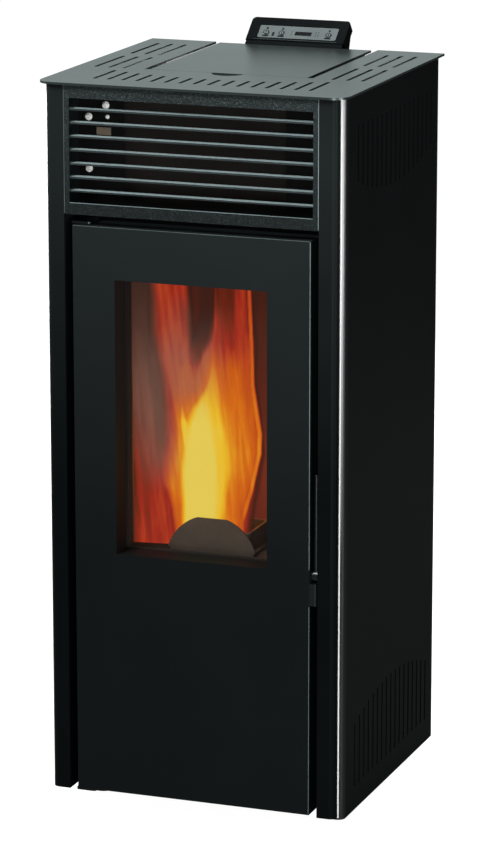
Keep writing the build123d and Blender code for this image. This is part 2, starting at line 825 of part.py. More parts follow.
mouth_near = face_y + hopper_front
mouth_far = face_y + hopper_rear
neck_near = face_y + neck_front
neck_far = face_y + neck_rear
side_view = Plane.YZ.offset(-hopper_half_width)
side_reach = 2 * hopper_half_width
front_view = front_plane(hopper_front)
front_reach = hopper_front - hopper_rear
wall_in = hopper_wall + slip_gap
from_front = funnel_section(-hopper_half_width, hopper_half_width,
                            -neck_half_width, neck_half_width)
from_side = funnel_section(mouth_near + wall_in, mouth_far - wall_in,
                           neck_near + wall_in, neck_far - wall_in)
with BuildPart() as hopper:
    for side in (-1, 1):
        half, neck_half = side * hopper_half_width, side * neck_half_width
        thick = side * hopper_wall
        low, high = sorted((half, half - thick))
        with BuildSketch(Plane.XY.offset(hopper_shoulder + slip_gap)):
            span(low, high, mouth_near + wall_in, mouth_far - wall_in)
        extrude(amount=hopper_top - hopper_shoulder - slip_gap)
        low, high = sorted((half, half + side * hopper_lip))
        with BuildSketch(Plane.XY.offset(hopper_top - hopper_wall)):
            span(low, high, mouth_near + wall_in, mouth_far - wall_in)
        extrude(amount=hopper_wall)
        section = funnel_section(half, half - thick, neck_half, neck_half - thick)
        add(funnel_wall(front_view, section, front_reach, side_view, from_side, side_reach).part)
        low, high = sorted((neck_half, neck_half - thick))
        with BuildSketch(Plane.XY.offset(neck_bottom)):
            span(low, high, neck_near + wall_in, neck_far - wall_in)
        extrude(amount=hopper_neck_top - slip_gap - neck_bottom)
    for facing, mouth, neck in ((-1, mouth_near, neck_near), (1, mouth_far, neck_far)):
        thick = -facing * hopper_wall
        low, high = sorted((mouth, mouth + thick))
        with BuildSketch(Plane.XY.offset(hopper_shoulder + slip_gap)):
            span(-hopper_half_width, hopper_half_width, low, high)
        extrude(amount=hopper_top - hopper_shoulder - slip_gap)
        low, high = sorted((mouth + thick, mouth + facing * hopper_lip))
        with BuildSketch(Plane.XY.offset(hopper_top - hopper_wall)):
            lip_half = hopper_half_width + hopper_lip
            span(-lip_half, lip_half, low, high)
        extrude(amount=hopper_wall)
        section = funnel_section(mouth, mouth + thick, neck, neck + thick)
        add(funnel_wall(side_view, section, side_reach, front_view, from_front, front_reach).part)
        low, high = sorted((neck, neck + thick))
        with BuildSketch(Plane.XY.offset(neck_bottom)):
            span(-neck_half_width, neck_half_width, low, high)
        extrude(amount=hopper_neck_top - slip_gap - neck_bottom)
    with BuildSketch(front_plane(neck_front)):
        with Locations((0, auger_z)):
            Circle(auger_tube_radius)
    extrude(amount=neck_front - neck_rear, mode=Mode.SUBTRACT)
hopper.part.label = "hopper"
export_step(hopper.part, "parts/hopper.step")

rail_top = rail_bottom + rail_size
with BuildPart() as hopper_rails:
    for near in (hopper_front - rail_size, hopper_rear):
        with BuildSketch(Plane.YZ.offset(-inner_x)):
            span(face_y + near, face_y + near + rail_size, rail_bottom, rail_top)
            span(face_y + near + sheet, face_y + near + rail_size - sheet,
                 rail_bottom, rail_top - sheet, Mode.SUBTRACT)
        extrude(amount=2 * inner_x)
hopper_rails.part.label = "hopper_rails"
export_step(hopper_rails.part, "parts/hopper_rails.step")

grid_top = hopper_top - grid_drop
with BuildPart() as hopper_grid:
    with BuildSketch(Plane.XY.offset(grid_top - grid_bar)):
        inside = hopper_half_width - hopper_wall
        inside_front = face_y + hopper_front + hopper_wall
        inside_rear = face_y + hopper_rear - hopper_wall
        middle = (inside_front + inside_rear) / 2
        bar_end = grid_bar + slip_gap
        for near in (inside_front, inside_rear - grid_bar):
            span(-inside, inside, near, near + grid_bar)
        for low in (-inside, inside - grid_bar):
            span(low, low + grid_bar, inside_front + bar_end, inside_rear - bar_end)
        span(bar_end - inside, inside - bar_end, middle - grid_bar / 2, middle + grid_bar / 2)
        pitch_x = 2 * inside / (grid_count + 1)
        half_bar = (inside_rear - inside_front) / 2 - bar_end - grid_bar / 2 - slip_gap
        half_middle = grid_bar / 2 + slip_gap + half_bar / 2
        with Locations((0, middle - half_middle), (0, middle + half_middle)):
            with GridLocations(pitch_x, 1, grid_count, 1):
                Rectangle(grid_bar, half_bar)
    extrude(amount=grid_bar)
hopper_grid.part.label = "hopper_grid"
export_step(hopper_grid.part, "parts/hopper_grid.step")

# ---------------------------------------------------------------- auger
end_thickness = 3
bush_bore = screw_shaft_radius + slip_gap
inlet_rise = 15
inlet_margin = 8
with BuildPart() as auger_tube:
    with BuildSketch(front_plane(firebox_rear)):
        with Locations((0, auger_z)):
            Circle(auger_tube_radius)
            Circle(auger_tube_radius - auger_tube_wall, mode=Mode.SUBTRACT)
    extrude(amount=firebox_rear - auger_tube_end)
    with BuildSketch(front_plane(auger_tube_end - end_thickness)):
        with Locations((0, auger_z)):
            Circle(auger_tube_radius)
            Circle(bush_bore, mode=Mode.SUBTRACT)
    extrude(amount=-end_thickness)
    with BuildSketch(Plane.XY.offset(auger_z + inlet_rise)):
        neck_inside = neck_half_width - hopper_wall - inlet_margin
        span(-neck_inside, neck_inside, face_y + neck_front + hopper_wall,
             face_y + neck_rear - hopper_wall)
    extrude(amount=auger_tube_radius, mode=Mode.SUBTRACT)
auger_tube.part.label = "auger_tube"
export_step(auger_tube.part, "parts/auger_tube.step")

screw_front = firebox_rear - firebox_wall - liner_thickness + 2
screw_rear = auger_tube_end - end_thickness - 3
screw_length = screw_rear - screw_front
flight_root = screw_shaft_radius - 1
flight_end = 2
motor_front = auger_tube_end
with BuildPart() as auger_screw:
    with BuildSketch(front_plane(screw_front)):
        with Locations((0, auger_z)):
            Circle(screw_shaft_radius)
    extrude(amount=screw_front - motor_front)
    with BuildLine() as flight_path:
        Helix(pitch=screw_pitch, height=screw_length - 2 * flight_end - flight_thickness,
              radius=(flight_root + screw_radius) / 2,
              center=(0, face_y + screw_front + flight_end, auger_z), direction=(0, 1, 0))
    start = flight_path.line @ 0
    outward = start - Vector(0, start.Y, auger_z)
    start_plane = Plane(origin=start, x_dir=outward, z_dir=flight_path.line % 0)
    with BuildSketch(start_plane):
        Rectangle(screw_radius - flight_root, flight_thickness)
    sweep(path=flight_path.line, is_frenet=True)
auger_screw.part.label = "auger_screw"
export_step(auger_screw.part, "parts/auger_screw.step")

gearbox_width = 70
gearbox_height = 76
gearbox_length = 26
gearbox_drop = 10
motor_drop = 14
motor_radius = 24
motor_end = panel_inner_depth - 4
with BuildPart() as auger_motor:
    with BuildSketch(front_plane(motor_front)):
        with Locations((0, auger_z - gearbox_drop)):
            RectangleRounded(gearbox_width, gearbox_height, 8)
    extrude(amount=-gearbox_length)
    with BuildSketch(front_plane(motor_front + gearbox_length)):
        with Locations((0, auger_z - motor_drop)):
            Circle(motor_radius)
    extrude(amount=motor_front + gearbox_length - motor_end)
auger_motor.part.label = "auger_motor"
export_step(auger_motor.part, "parts/auger_motor.step")

# ---------------------------------------------------------------- convection blower
blower_half = blower_length / 2
blower_left = blower_x - blower_half
blower_right = blower_x + blower_half
blower_cheek = 2
blower_play = 3
blower_y = face_y + blower_depth
blower_case_radius = blower_radius + 6
blower_floor = base_z + sheet
blower_motor_radius = 26
blower_motor_length = 34


def axle_plane(x):
    """Plane across the blower's axle, with its axes along +Y and +Z."""
    return Plane.YZ.offset(x)


with BuildPart() as blower_housing:
    for near in (blower_left - blower_cheek - blower_play, blower_right + blower_play):
        with BuildSketch(axle_plane(near)):
            top = blower_z + blower_case_radius
            span(blower_y - blower_case_radius, blower_y + blower_case_radius, blower_floor, top)
            with Locations((blower_y, blower_z)):
                Circle(blower_shaft + slip_gap, mode=Mode.SUBTRACT)
        extrude(amount=blower_cheek)
    shell_length = blower_length + 2 * blower_play
    with BuildSketch(axle_plane(blower_left - blower_play)):
        with Locations((blower_y, blower_z)):
            Circle(blower_case_radius)
            Circle(blower_case_radius - sheet, mode=Mode.SUBTRACT)
        span(blower_y - blower_case_radius, blower_y + blower_case_radius,
             blower_z, blower_z + blower_case_radius, Mode.SUBTRACT)
        span(blower_y, blower_y + blower_case_radius,
             blower_z - blower_case_radius, blower_z, Mode.SUBTRACT)
    extrude(amount=shell_length)
blower_housing.part.label = "blower_housing"
export_step(blower_housing.part, "parts/blower_housing.step")

blade_reach = 8
with BuildPart() as blower_wheel:
    for near in (blower_left, blower_right - blower_cheek):
        with BuildSketch(axle_plane(near)):
            with Locations((blower_y, blower_z)):
                Circle(blower_radius)
        extrude(amount=blower_cheek)
    with BuildSketch(axle_plane(blower_left)):
        with Locations((blower_y, blower_z)):
            with PolarLocations(blower_radius - blade_reach / 2 - 0.5, blade_count):
                Rectangle(blade_reach, 1, rotation=30)
    extrude(amount=blower_length)
    axle_reach = blower_play + blower_cheek + 2
    with BuildSketch(axle_plane(blower_left - axle_reach)):
        with Locations((blower_y, blower_z)):
            Circle(blower_shaft)
    extrude(amount=blower_length + 2 * axle_reach)
blower_wheel.part.label = "blower_wheel"
export_step(blower_wheel.part, "parts/blower_wheel.step")

with BuildPart() as blower_motor:
    motor_near = blower_right + blower_play + blower_cheek
    with BuildSketch(axle_plane(motor_near)):
        with Locations((blower_y, blower_z)):
            Circle(blower_motor_radius)
    extrude(amount=blower_motor_length)
    with BuildSketch(axle_plane(motor_near)):
        with Locations((blower_y, blower_z)):
            Circle(blower_shaft + slip_gap)
    extrude(amount=blower_play + blower_cheek, mode=Mode.SUBTRACT)
blower_motor.part.label = "blower_motor"
export_step(blower_motor.part, "parts/blower_motor.step")

# ---------------------------------------------------------------- exhaust fan
exhaust_back = exhaust_front + exhaust_width
flue_box_bottom = flue_z - flue_box_size / 2
outlet_right = exhaust_x + exhaust_radius
outlet_width = 38
outlet_left = outlet_right - outlet_width
exhaust_eye = 26
exhaust_leg = 24
with BuildPart() as exhaust_housing:
    with BuildSketch(front_plane(exhaust_front)):
        with Locations((exhaust_x, exhaust_z)):
            Circle(exhaust_radius)
        span(outlet_left, outlet_right, exhaust_z, flue_box_bottom)
    extrude(amount=-exhaust_width)
    with BuildSketch(front_plane(exhaust_front + sheet)):
        with Locations((exhaust_x, exhaust_z)):
            Circle(exhaust_radius - sheet)
        span(outlet_left + sheet, outlet_right - sheet, exhaust_z, flue_box_bottom)
    extrude(amount=2 * sheet - exhaust_width, mode=Mode.SUBTRACT)
    with BuildSketch(front_plane(exhaust_front)):
        with Locations((exhaust_x, exhaust_z)):
            Circle(exhaust_eye)
    extrude(amount=-sheet, mode=Mode.SUBTRACT)
    with BuildSketch(front_plane(exhaust_back - sheet)):
        with Locations((exhaust_x, exhaust_z)):
            Circle(exhaust_shaft + slip_gap)
    extrude(amount=-sheet, mode=Mode.SUBTRACT)
    with BuildSketch(front_plane(exhaust_front)):
        for side in (-1, 1):
            middle = exhaust_x + side * exhaust_radius * 0.6
            low = exhaust_z - exhaust_radius * 0.78
            span(middle - exhaust_leg / 2, middle + exhaust_leg / 2, base_z + sheet, low)
    extrude(amount=-sheet)
exhaust_housing.part.label = "exhaust_housing"
export_step(exhaust_housing.part, "parts/exhaust_housing.step")

wheel_front = exhaust_front + 8
wheel_depth = 26
with BuildPart() as exhaust_wheel:
    with BuildSketch(front_plane(wheel_front + wheel_depth - sheet)):
        with Locations((exhaust_x, exhaust_z)):
            Circle(exhaust_wheel_radius)
    extrude(amount=-sheet)
    with BuildSketch(front_plane(wheel_front)):
        with Locations((exhaust_x, exhaust_z)):
            with PolarLocations(exhaust_wheel_radius * 0.68, exhaust_blades):
                Rectangle(exhaust_wheel_radius * 0.6, sheet)
    extrude(amount=sheet - wheel_depth)
    with BuildSketch(front_plane(wheel_front + 4)):
        with Locations((exhaust_x, exhaust_z)):
            Circle(exhaust_shaft)
    extrude(amount=wheel_front + 4 - exhaust_back - 6)
exhaust_wheel.part.label = "exhaust_wheel"
export_step(exhaust_wheel.part, "parts/exhaust_wheel.step")

exhaust_motor_radius = 34
exhaust_motor_length = 44
with BuildPart() as exhaust_motor:
    with BuildSketch(front_plane(exhaust_back)):
        with Locations((exhaust_x, exhaust_z)):
            Circle(exhaust_motor_radius)
    extrude(amount=-exhaust_motor_length)
    with BuildSketch(front_plane(exhaust_back)):
        with Locations((exhaust_x, exhaust_z)):
            Circle(exhaust_shaft + slip_gap)
    extrude(amount=-8, mode=Mode.SUBTRACT)
exhaust_motor.part.label = "exhaust_motor"
export_step(exhaust_motor.part, "parts/exhaust_motor.step")

duct_width = 36
duct_length = 55
duct_rear = firebox_rear - 10
duct_front = duct_rear - duct_length
duct_left = firebox_half_width
duct_right = duct_left + duct_width
duct_drop = 46
duct_top = firebox_top - duct_drop
duct_half_height = 34
duct_bottom = exhaust_z - duct_half_height
with BuildPart() as smoke_duct:
    with BuildSketch(Plane.XY.offset(duct_bottom)):
        span(duct_left, duct_right, face_y + duct_front, face_y + duct_rear)
    extrude(amount=duct_top - duct_bottom)
    with BuildSketch(front_plane(firebox_rear)):
        span(exhaust_x - exhaust_eye - sheet, duct_right, duct_bottom, exhaust_z + duct_half_height)
    extrude(amount=firebox_rear - exhaust_front)
    with BuildSketch(front_plane(duct_rear)):
        span(duct_left, duct_right, duct_bottom, exhaust_z + duct_half_height)
    extrude(amount=duct_rear - firebox_rear)
smoke_duct.part.label = "smoke_duct"
export_step(smoke_duct.part, "parts/smoke_duct.step")

# ---------------------------------------------------------------- flue and air intake
flue_box_rear = flue_box_front + flue_box_size
flue_bore = flue_radius - flue_wall
spigot_end = body_depth + spigot_reach
collar_width = 6
with BuildPart() as flue_box:
    with BuildSketch(front_plane(flue_box_front)):
        with Locations((flue_x, flue_z)):
            Rectangle(flue_box_size, flue_box_size)
    extrude(amount=-flue_box_size)
    with BuildSketch(front_plane(flue_box_front + sheet)):
        with Locations((flue_x, flue_z)):
            Rectangle(flue_box_size - 2 * sheet, flue_box_size - 2 * sheet)
    extrude(amount=2 * sheet - flue_box_size, mode=Mode.SUBTRACT)
    with BuildSketch(front_plane(flue_box_rear - sheet)):
        with Locations((flue_x, flue_z)):
            Circle(flue_bore)
    extrude(amount=-sheet, mode=Mode.SUBTRACT)
    with BuildSketch(Plane.XY.offset(flue_box_bottom)):
        span(outlet_left + sheet, outlet_right - sheet,
             face_y + flue_box_front + sheet, face_y + exhaust_back - sheet)
    extrude(amount=sheet, mode=Mode.SUBTRACT)
flue_box.part.label = "flue_box"
export_step(flue_box.part, "parts/flue_box.step")

with BuildPart() as flue_spigot:
    with BuildSketch(front_plane(flue_box_rear)):
        with Locations((flue_x, flue_z)):
            Circle(flue_radius)
            Circle(flue_bore, mode=Mode.SUBTRACT)
    extrude(amount=flue_box_rear - spigot_end)
    with BuildSketch(front_plane(body_depth)):
        with Locations((flue_x, flue_z)):
            Circle(flue_radius + collar_width)
            Circle(flue_bore, mode=Mode.SUBTRACT)
    extrude(amount=-sheet)
flue_spigot.part.label = "flue_spigot"
export_step(flue_spigot.part, "parts/flue_spigot.step")

with BuildPart() as air_intake_pipe:
    with BuildSketch(front_plane(firebox_rear)):
        with Locations((intake_x, intake_z)):
            Circle(intake_radius)
            Circle(intake_radius - intake_wall, mode=Mode.SUBTRACT)
    extrude(amount=firebox_rear - body_depth - intake_reach)
    with BuildSketch(front_plane(body_depth)):
        with Locations((intake_x, intake_z)):
            Circle(intake_radius + collar_width)
            Circle(intake_radius - intake_wall, mode=Mode.SUBTRACT)
    extrude(amount=-sheet)
air_intake_pipe.part.label = "air_intake_pipe"
export_step(air_intake_pipe.part, "parts/air_intake_pipe.step")

# ---------------------------------------------------------------- mains inlet and switch
inlet_depth = 24
inlet_pocket = 16
inlet_pin_pitch = 7
switch_frame_wall = 2.5
switch_frame_lip = 1
rocker_gap = 1.0
rocker_pin = 1.5
rocker_pivot_depth = panel_outer_depth - 3
with BuildPart() as mains_socket:
    with BuildSketch(front_plane(panel_outer_depth)):
        with Locations((inlet_x, inlet_z)):
            Rectangle(inlet_width + 2 * inlet_rim, inlet_height + 2 * inlet_rim)
        with Locations((inlet_x, switch_z)):
            Rectangle(inlet_width + 2 * inlet_rim, switch_height + 2 * inlet_rim)
    extrude(amount=-inlet_rim)
    with BuildSketch(front_plane(panel_outer_depth)):
        with Locations((inlet_x, inlet_z)):
            Rectangle(inlet_width - slip_gap, inlet_height - slip_gap)
        with Locations((inlet_x, switch_z)):
            Rectangle(inlet_width - slip_gap, switch_height - slip_gap)
    extrude(amount=inlet_depth)
    with BuildSketch(front_plane(panel_outer_depth + inlet_rim)):
        with Locations((inlet_x, inlet_z)):
            Rectangle(inlet_width - 2 * sheet, inlet_height - 2 * sheet)
    extrude(amount=inlet_pocket, mode=Mode.SUBTRACT)
    with BuildSketch(front_plane(panel_outer_depth + inlet_rim)):
        with Locations((inlet_x, switch_z)):
            Rectangle(inlet_width - 2 * switch_frame_wall, switch_height - 2 * switch_frame_lip)
    extrude(amount=inlet_depth, mode=Mode.SUBTRACT)
    with BuildSketch(front_plane(panel_outer_depth + inlet_rim - sheet)):
        with Locations((inlet_x, inlet_z)):
            with GridLocations(inlet_pin_pitch, 1, 3, 1):
                Rectangle(2, 4)
    extrude(amount=inlet_pocket)
    with BuildSketch(Plane.YZ.offset(inlet_x - inlet_width / 2 + 0.5)):
        with Locations((face_y + rocker_pivot_depth, switch_z)):
            Circle(rocker_pin + slip_gap)
    extrude(amount=inlet_width - 1, mode=Mode.SUBTRACT)
mains_socket.part.label = "mains_socket"
export_step(mains_socket.part, "parts/mains_socket.step")

rocker_half = switch_height / 2 - switch_frame_lip - rocker_gap
rocker_face = panel_outer_depth + inlet_rim + 1.5
rocker_width = inlet_width - 2 * (switch_frame_wall + rocker_gap)
with BuildPart() as rocker_switch:
    with BuildSketch(Plane.YZ.offset(inlet_x - rocker_width / 2)):
        pivot_y = face_y + rocker_pivot_depth
        face_line = face_y + rocker_face
        with BuildLine():
            Polyline((pivot_y - 2.5, switch_z - rocker_half + 1.5),
                     (face_line, switch_z - rocker_half),
                     (face_line - 1, switch_z),
                     (face_line, switch_z + rocker_half),
                     (pivot_y - 2.5, switch_z + rocker_half - 1.5), close=True)
        make_face()
    extrude(amount=rocker_width)
    with BuildSketch(Plane.YZ.offset(inlet_x - rocker_width / 2 - rocker_gap - 1)):
        with Locations((face_y + rocker_pivot_depth, switch_z)):
            Circle(rocker_pin)
    extrude(amount=rocker_width + 2 * rocker_gap + 2)
rocker_switch.part.label = "rocker_switch"
export_step(rocker_switch.part, "parts/rocker_switch.step")

# ---------------------------------------------------------------- control board
board_depth = 160
board_length = 120
board_bottom = 420
board_height = 90
board_stand = 8
board_thickness = 1.6
board_inset = 7
stud_radius = 3
part_height = 16
relay_count = 3
relay_pitch = 22
relay_length = 18
relay_width = 15
relay_along = 30
transformer_along = 78
transformer_rise = 36
transformer_size = 34
with BuildPart() as control_board:
    board_plane = Plane.YZ.offset(board_stand - inner_x)
    near = face_y + board_depth
    middle_z = board_bottom + board_height / 2
    with BuildSketch(board_plane):
        span(near, near + board_length, board_bottom, board_bottom + board_height)
    extrude(amount=board_thickness)
    with BuildSketch(board_plane.offset(board_thickness)):
        with Locations((near + relay_along, middle_z)):
            with GridLocations(1, relay_pitch, 1, relay_count):
                Rectangle(relay_length, relay_width)
        with Locations((near + transformer_along, board_bottom + transformer_rise)):
            Rectangle(transformer_size, transformer_size)
    extrude(amount=part_height)
    with BuildSketch(Plane.YZ.offset(-inner_x)):
        with Locations((near + board_length / 2, middle_z)):
            with GridLocations(board_length - 2 * board_inset, board_height - 2 * board_inset, 2, 2):
                Circle(stud_radius)
    extrude(amount=board_stand)
control_board.part.label = "control_board"
export_step(control_board.part, "parts/control_board.step")

# ---------------------------------------------------------------- rear screws
screw_head_radius = 4.5
screw_head_height = 2.4
rear_screw_rows = (60, 330, 620, back_top - back_drop)
with BuildPart() as rear_screws:
    with BuildSketch(front_plane(body_depth)):
        for height in rear_screw_rows:
            with Locations((side_x - rear_return / 2 - 1, height),
                           (rear_return / 2 + 1 - side_x, height)):
                Circle(screw_head_radius)
    extrude(amount=-screw_head_height, taper=25)
rear_screws.part.label = "rear_screws"
export_step(rear_screws.part, "parts/rear_screws.step")

# ---------------------------------------------------------------- control panel
tilt = radians(control_tilt)
control_plane = Plane(
    origin=(control_x, face_y + control_front, stove_height),
    x_dir=(1, 0, 0),
    z_dir=(0, -sin(tilt), cos(tilt)),
)
keypad_sink = 0.2
keypad_pocket = keypad_thickness + keypad_sink
keypad_play = 0.2
keypad_corner = 2
button_play = 0.4
shell_inset = 1.5
shell_drop = 23
shell_rear = 28
neck_width = 120
neck_drop = 36
neck_sheet = 3
neck_clear = 0.6


def control_point(along, deep):
    """Place in the panel's side view: this far up its face and this deep below it."""
    return (face_y + control_front + along * cos(tilt) + deep * sin(tilt),
            stove_height + along * sin(tilt) - deep * cos(tilt))


with BuildPart() as control_housing:
    with BuildSketch(control_plane):
        span(-control_width / 2, control_width / 2, control_nose, control_length)
        fillet(vertices().group_by(Axis.Y)[-1], control_corner)
    extrude(amount=-control_thickness)
    chamfer(faces().sort_by(Axis.Z)[-1].edges(), 0.8)
    front_y = face_y + control_front + neck_clear
    shell_bottom = (front_y, stove_height - shell_drop)
    shell_heel = (front_y + shell_rear, stove_height - shell_drop)
    shell_width = control_width - 2 * shell_inset
    with BuildSketch(Plane.YZ.offset(control_x - shell_width / 2)):
        with BuildLine():
            Polyline(shell_bottom, (front_y, stove_height), control_point(control_nose, 1),
                     control_point(control_length - control_corner, control_thickness - 1),
                     shell_heel, close=True)
        make_face()
    extrude(amount=shell_width)
    with BuildSketch(Plane.YZ.offset(control_x - neck_width / 2)):
        panel_y = face_y + panel_outer_depth
        with BuildLine():
            Polyline((panel_y, back_top - neck_drop),
                     (panel_y + neck_sheet, back_top - neck_drop),
                     (panel_y + neck_sheet, back_top), shell_heel, shell_bottom,
                     (panel_y, back_top + 2 * neck_sheet), close=True)
        make_face()
    extrude(amount=neck_width)
    with BuildSketch(control_plane.offset(-keypad_pocket)):
        with Locations((keypad_x, keypad_y)):
            RectangleRounded(keypad_width + 2 * keypad_play, keypad_height + 2 * keypad_play,
                             keypad_corner + keypad_play)
    extrude(amount=keypad_pocket, mode=Mode.SUBTRACT)
    with BuildSketch(control_plane.offset(-button_bore_depth)):
        for across in button_xs:
            with Locations((across, button_y)):
                Circle(button_radius + button_play)
    extrude(amount=button_bore_depth, mode=Mode.SUBTRACT)
control_housing.part.label = "control_housing"
export_step(control_housing.part, "parts/control_housing.step")

with BuildPart() as keypad:
    with BuildSketch(control_plane.offset(-keypad_pocket)):
        with Locations((keypad_x, keypad_y)):
            RectangleRounded(keypad_width, keypad_height, keypad_corner)
        for across in button_xs:
            with Locations((across, button_y)):
                Circle(button_radius + button_play, mode=Mode.SUBTRACT)
            with Locations((across, button_y + led_rise)):
                Circle(led_radius + slip_gap, mode=Mode.SUBTRACT)
        with Locations((display_x, display_y)):
            Rectangle(display_width, display_height, mode=Mode.SUBTRACT)
    extrude(amount=keypad_thickness)
keypad.part.label = "keypad"
export_step(keypad.part, "parts/keypad.step")

with BuildPart() as display_window:
    with BuildSketch(control_plane.offset(-keypad_pocket)):
        with Locations((display_x, display_y)):
            Rectangle(display_width - slip_gap, display_height - slip_gap)
    extrude(amount=keypad_thickness)
display_window.part.label = "display_window"
export_step(display_window.part, "parts/display_window.step")

with BuildPart() as status_leds:
    with BuildSketch(control_plane.offset(-keypad_pocket)):
        for across in button_xs:
            with Locations((across, button_y + led_rise)):
                Circle(led_radius)
    extrude(amount=keypad_pocket)
status_leds.part.label = "status_leds"
export_step(status_leds.part, "parts/status_leds.step")


def button(across):
    """Round push button that stands a little proud of the keypad."""
    with BuildPart() as cap:
        with BuildSketch(control_plane.offset(button_proud)):
            with Locations((across, button_y)):
                Circle(button_radius)
        extrude(amount=-button_length)
        chamfer(edges().group_by(Axis.Z)[-1], 0.5)
    return cap


button_left = button(button_xs[0])
button_left.part.label = "button_left"
export_step(button_left.part, "parts/button_left.step")

button_middle = button(button_xs[1])
button_middle.part.label = "button_middle"
export_step(button_middle.part, "parts/button_middle.step")

button_right = button(button_xs[2])
button_right.part.label = "button_right"
export_step(button_right.part, "parts/button_right.step")

# ---------------------------------------------------------------- hopper lid
lid_pivot_y = face_y + lid_pivot_depth
lid_pivot_z = stove_height - lid_pivot_drop
lid_flange = 12
lid_flange_sheet = 2
ear_front = 10
with BuildPart() as hopper_lid:
    with BuildSketch(Plane.XY.offset(plate_bottom)):
        span(-lid_half_width, lid_half_width, face_y + lid_front + lid_joint, face_y + lid_rear)
    extrude(amount=plate_thickness)
    with BuildSketch(Plane.XY.offset(plate_bottom)):
        near = face_y + lid_front + lid_joint
        span(-lid_half_width, lid_half_width, near, near + lid_flange_sheet)
    extrude(amount=-lid_flange)
    for side in (-1, 1):
        with BuildSketch(Plane.YZ.offset(side * lid_ear_x - lid_ear_thickness / 2)):
            low = lid_pivot_z - lid_pin_radius - 3
            span(lid_pivot_y - ear_front, face_y + lid_rear, low, plate_bottom)
            with Locations((lid_pivot_y, lid_pivot_z)):
                Circle(lid_pin_radius + hinge_clearance, mode=Mode.SUBTRACT)
        extrude(amount=lid_ear_thickness)
hopper_lid.part.label = "hopper_lid"
export_step(hopper_lid.part, "parts/hopper_lid.step")

with BuildPart() as lid_seal:
    with BuildSketch(Plane.XY.offset(seal_bottom)):
        seal_half = hopper_half_width + seal_lap
        seal_front = face_y + hopper_front - seal_lap
        seal_rear = face_y + hopper_rear + seal_lap
        span(-seal_half, seal_half, seal_front, seal_rear)
        span(seal_width - seal_half, seal_half - seal_width, seal_front + seal_width,
             seal_rear - seal_width, Mode.SUBTRACT)
    extrude(amount=seal_height)
lid_seal.part.label = "lid_seal"
export_step(lid_seal.part, "parts/lid_seal.step")

pivot_eye = lid_pin_radius + 0.7
pivot_sheet = 3
pivot_gap = 0.5
with BuildPart() as lid_pivots:
    for side in (-1, 1):
        ear_outside = side * (lid_ear_x + lid_ear_thickness / 2)
        near = ear_outside + side * pivot_gap
        far = near + side * pivot_sheet
        with BuildSketch(Plane.YZ.offset(near)):
            with Locations((lid_pivot_y, lid_pivot_z)):
                Circle(pivot_eye)
            span(lid_pivot_y - pivot_eye, lid_pivot_y + pivot_eye, back_top + 4, lid_pivot_z)
            span(lid_pivot_y - 4 * pivot_eye, face_y + panel_inner_depth - pivot_gap,
                 rail_top, back_top + 4 + pivot_sheet)
        extrude(amount=side * pivot_sheet)
        with BuildSketch(Plane.YZ.offset(far)):
            with Locations((lid_pivot_y, lid_pivot_z)):
                Circle(lid_pin_radius)
        extrude(amount=-side * (pivot_sheet + pivot_gap + lid_ear_thickness + 2))
lid_pivots.part.label = "lid_pivots"
export_step(lid_pivots.part, "parts/lid_pivots.step")

# ---------------------------------------------------------------- door
hinge_x = hinge_inset - door_half_width
hinge_y = face_y + hinge_depth
bush_radius = hinge_pin_radius + hinge_clearance + bush_wall
lever_y = face_y + lever_depth
shaft_bore = latch_shaft_radius + hinge_clearance
ledge_depth = glass_depth - collar_wall
cover_depth = door_depth - inner_frame_thickness
glass_half = window_half_width + glass_lap
glass_bottom = window_bottom - glass_lap
glass_top = window_top + glass_lap


def window(grow, mode=Mode.ADD):
    """Rectangle of the door's window, grown by this much on every side."""
    half = window_half_width + grow
    span(-half, half, window_bottom - grow, window_top + grow, mode)


with BuildPart() as door_panel:
    with BuildSketch(front_plane(0)):
        span(-door_half_width, door_half_width, door_bottom, door_top)
    extrude(amount=-door_depth)
    fillet(faces().sort_by(Axis.Y)[0].edges(), 1.2)
    with BuildSketch(front_plane(door_skin)):
        inside = door_half_width - door_wall
        span(-inside, inside, door_bottom + door_wall, door_top - door_wall)
    extrude(amount=-door_depth, mode=Mode.SUBTRACT)
    with BuildSketch(front_plane(door_skin)):
        window(collar_wall)
    extrude(amount=door_skin - ledge_depth)
    with BuildSketch(front_plane(ledge_depth)):
        window(glass_lap + slip_gap + collar_wall)
    extrude(amount=ledge_depth - cover_depth)
    with BuildSketch(front_plane(glass_depth)):
        window(glass_lap + slip_gap)
    extrude(amount=glass_depth - cover_depth, mode=Mode.SUBTRACT)
    with BuildSketch(front_plane(0)):
        window(0)
    extrude(amount=-glass_depth, mode=Mode.SUBTRACT)
    with BuildSketch(Plane.XY.offset(door_bottom)):
        with Locations((hinge_x, hinge_y)):
            Circle(bush_radius)
    extrude(amount=door_top - door_bottom, mode=Mode.SUBTRACT)
    with BuildSketch(Plane.YZ.offset(door_half_width - door_wall)):
        with Locations((lever_y, lever_pivot_z)):
            Circle(shaft_bore)
    extrude(amount=door_wall, mode=Mode.SUBTRACT)
door_panel.part.label = "door_panel"
export_step(door_panel.part, "parts/door_panel.step")

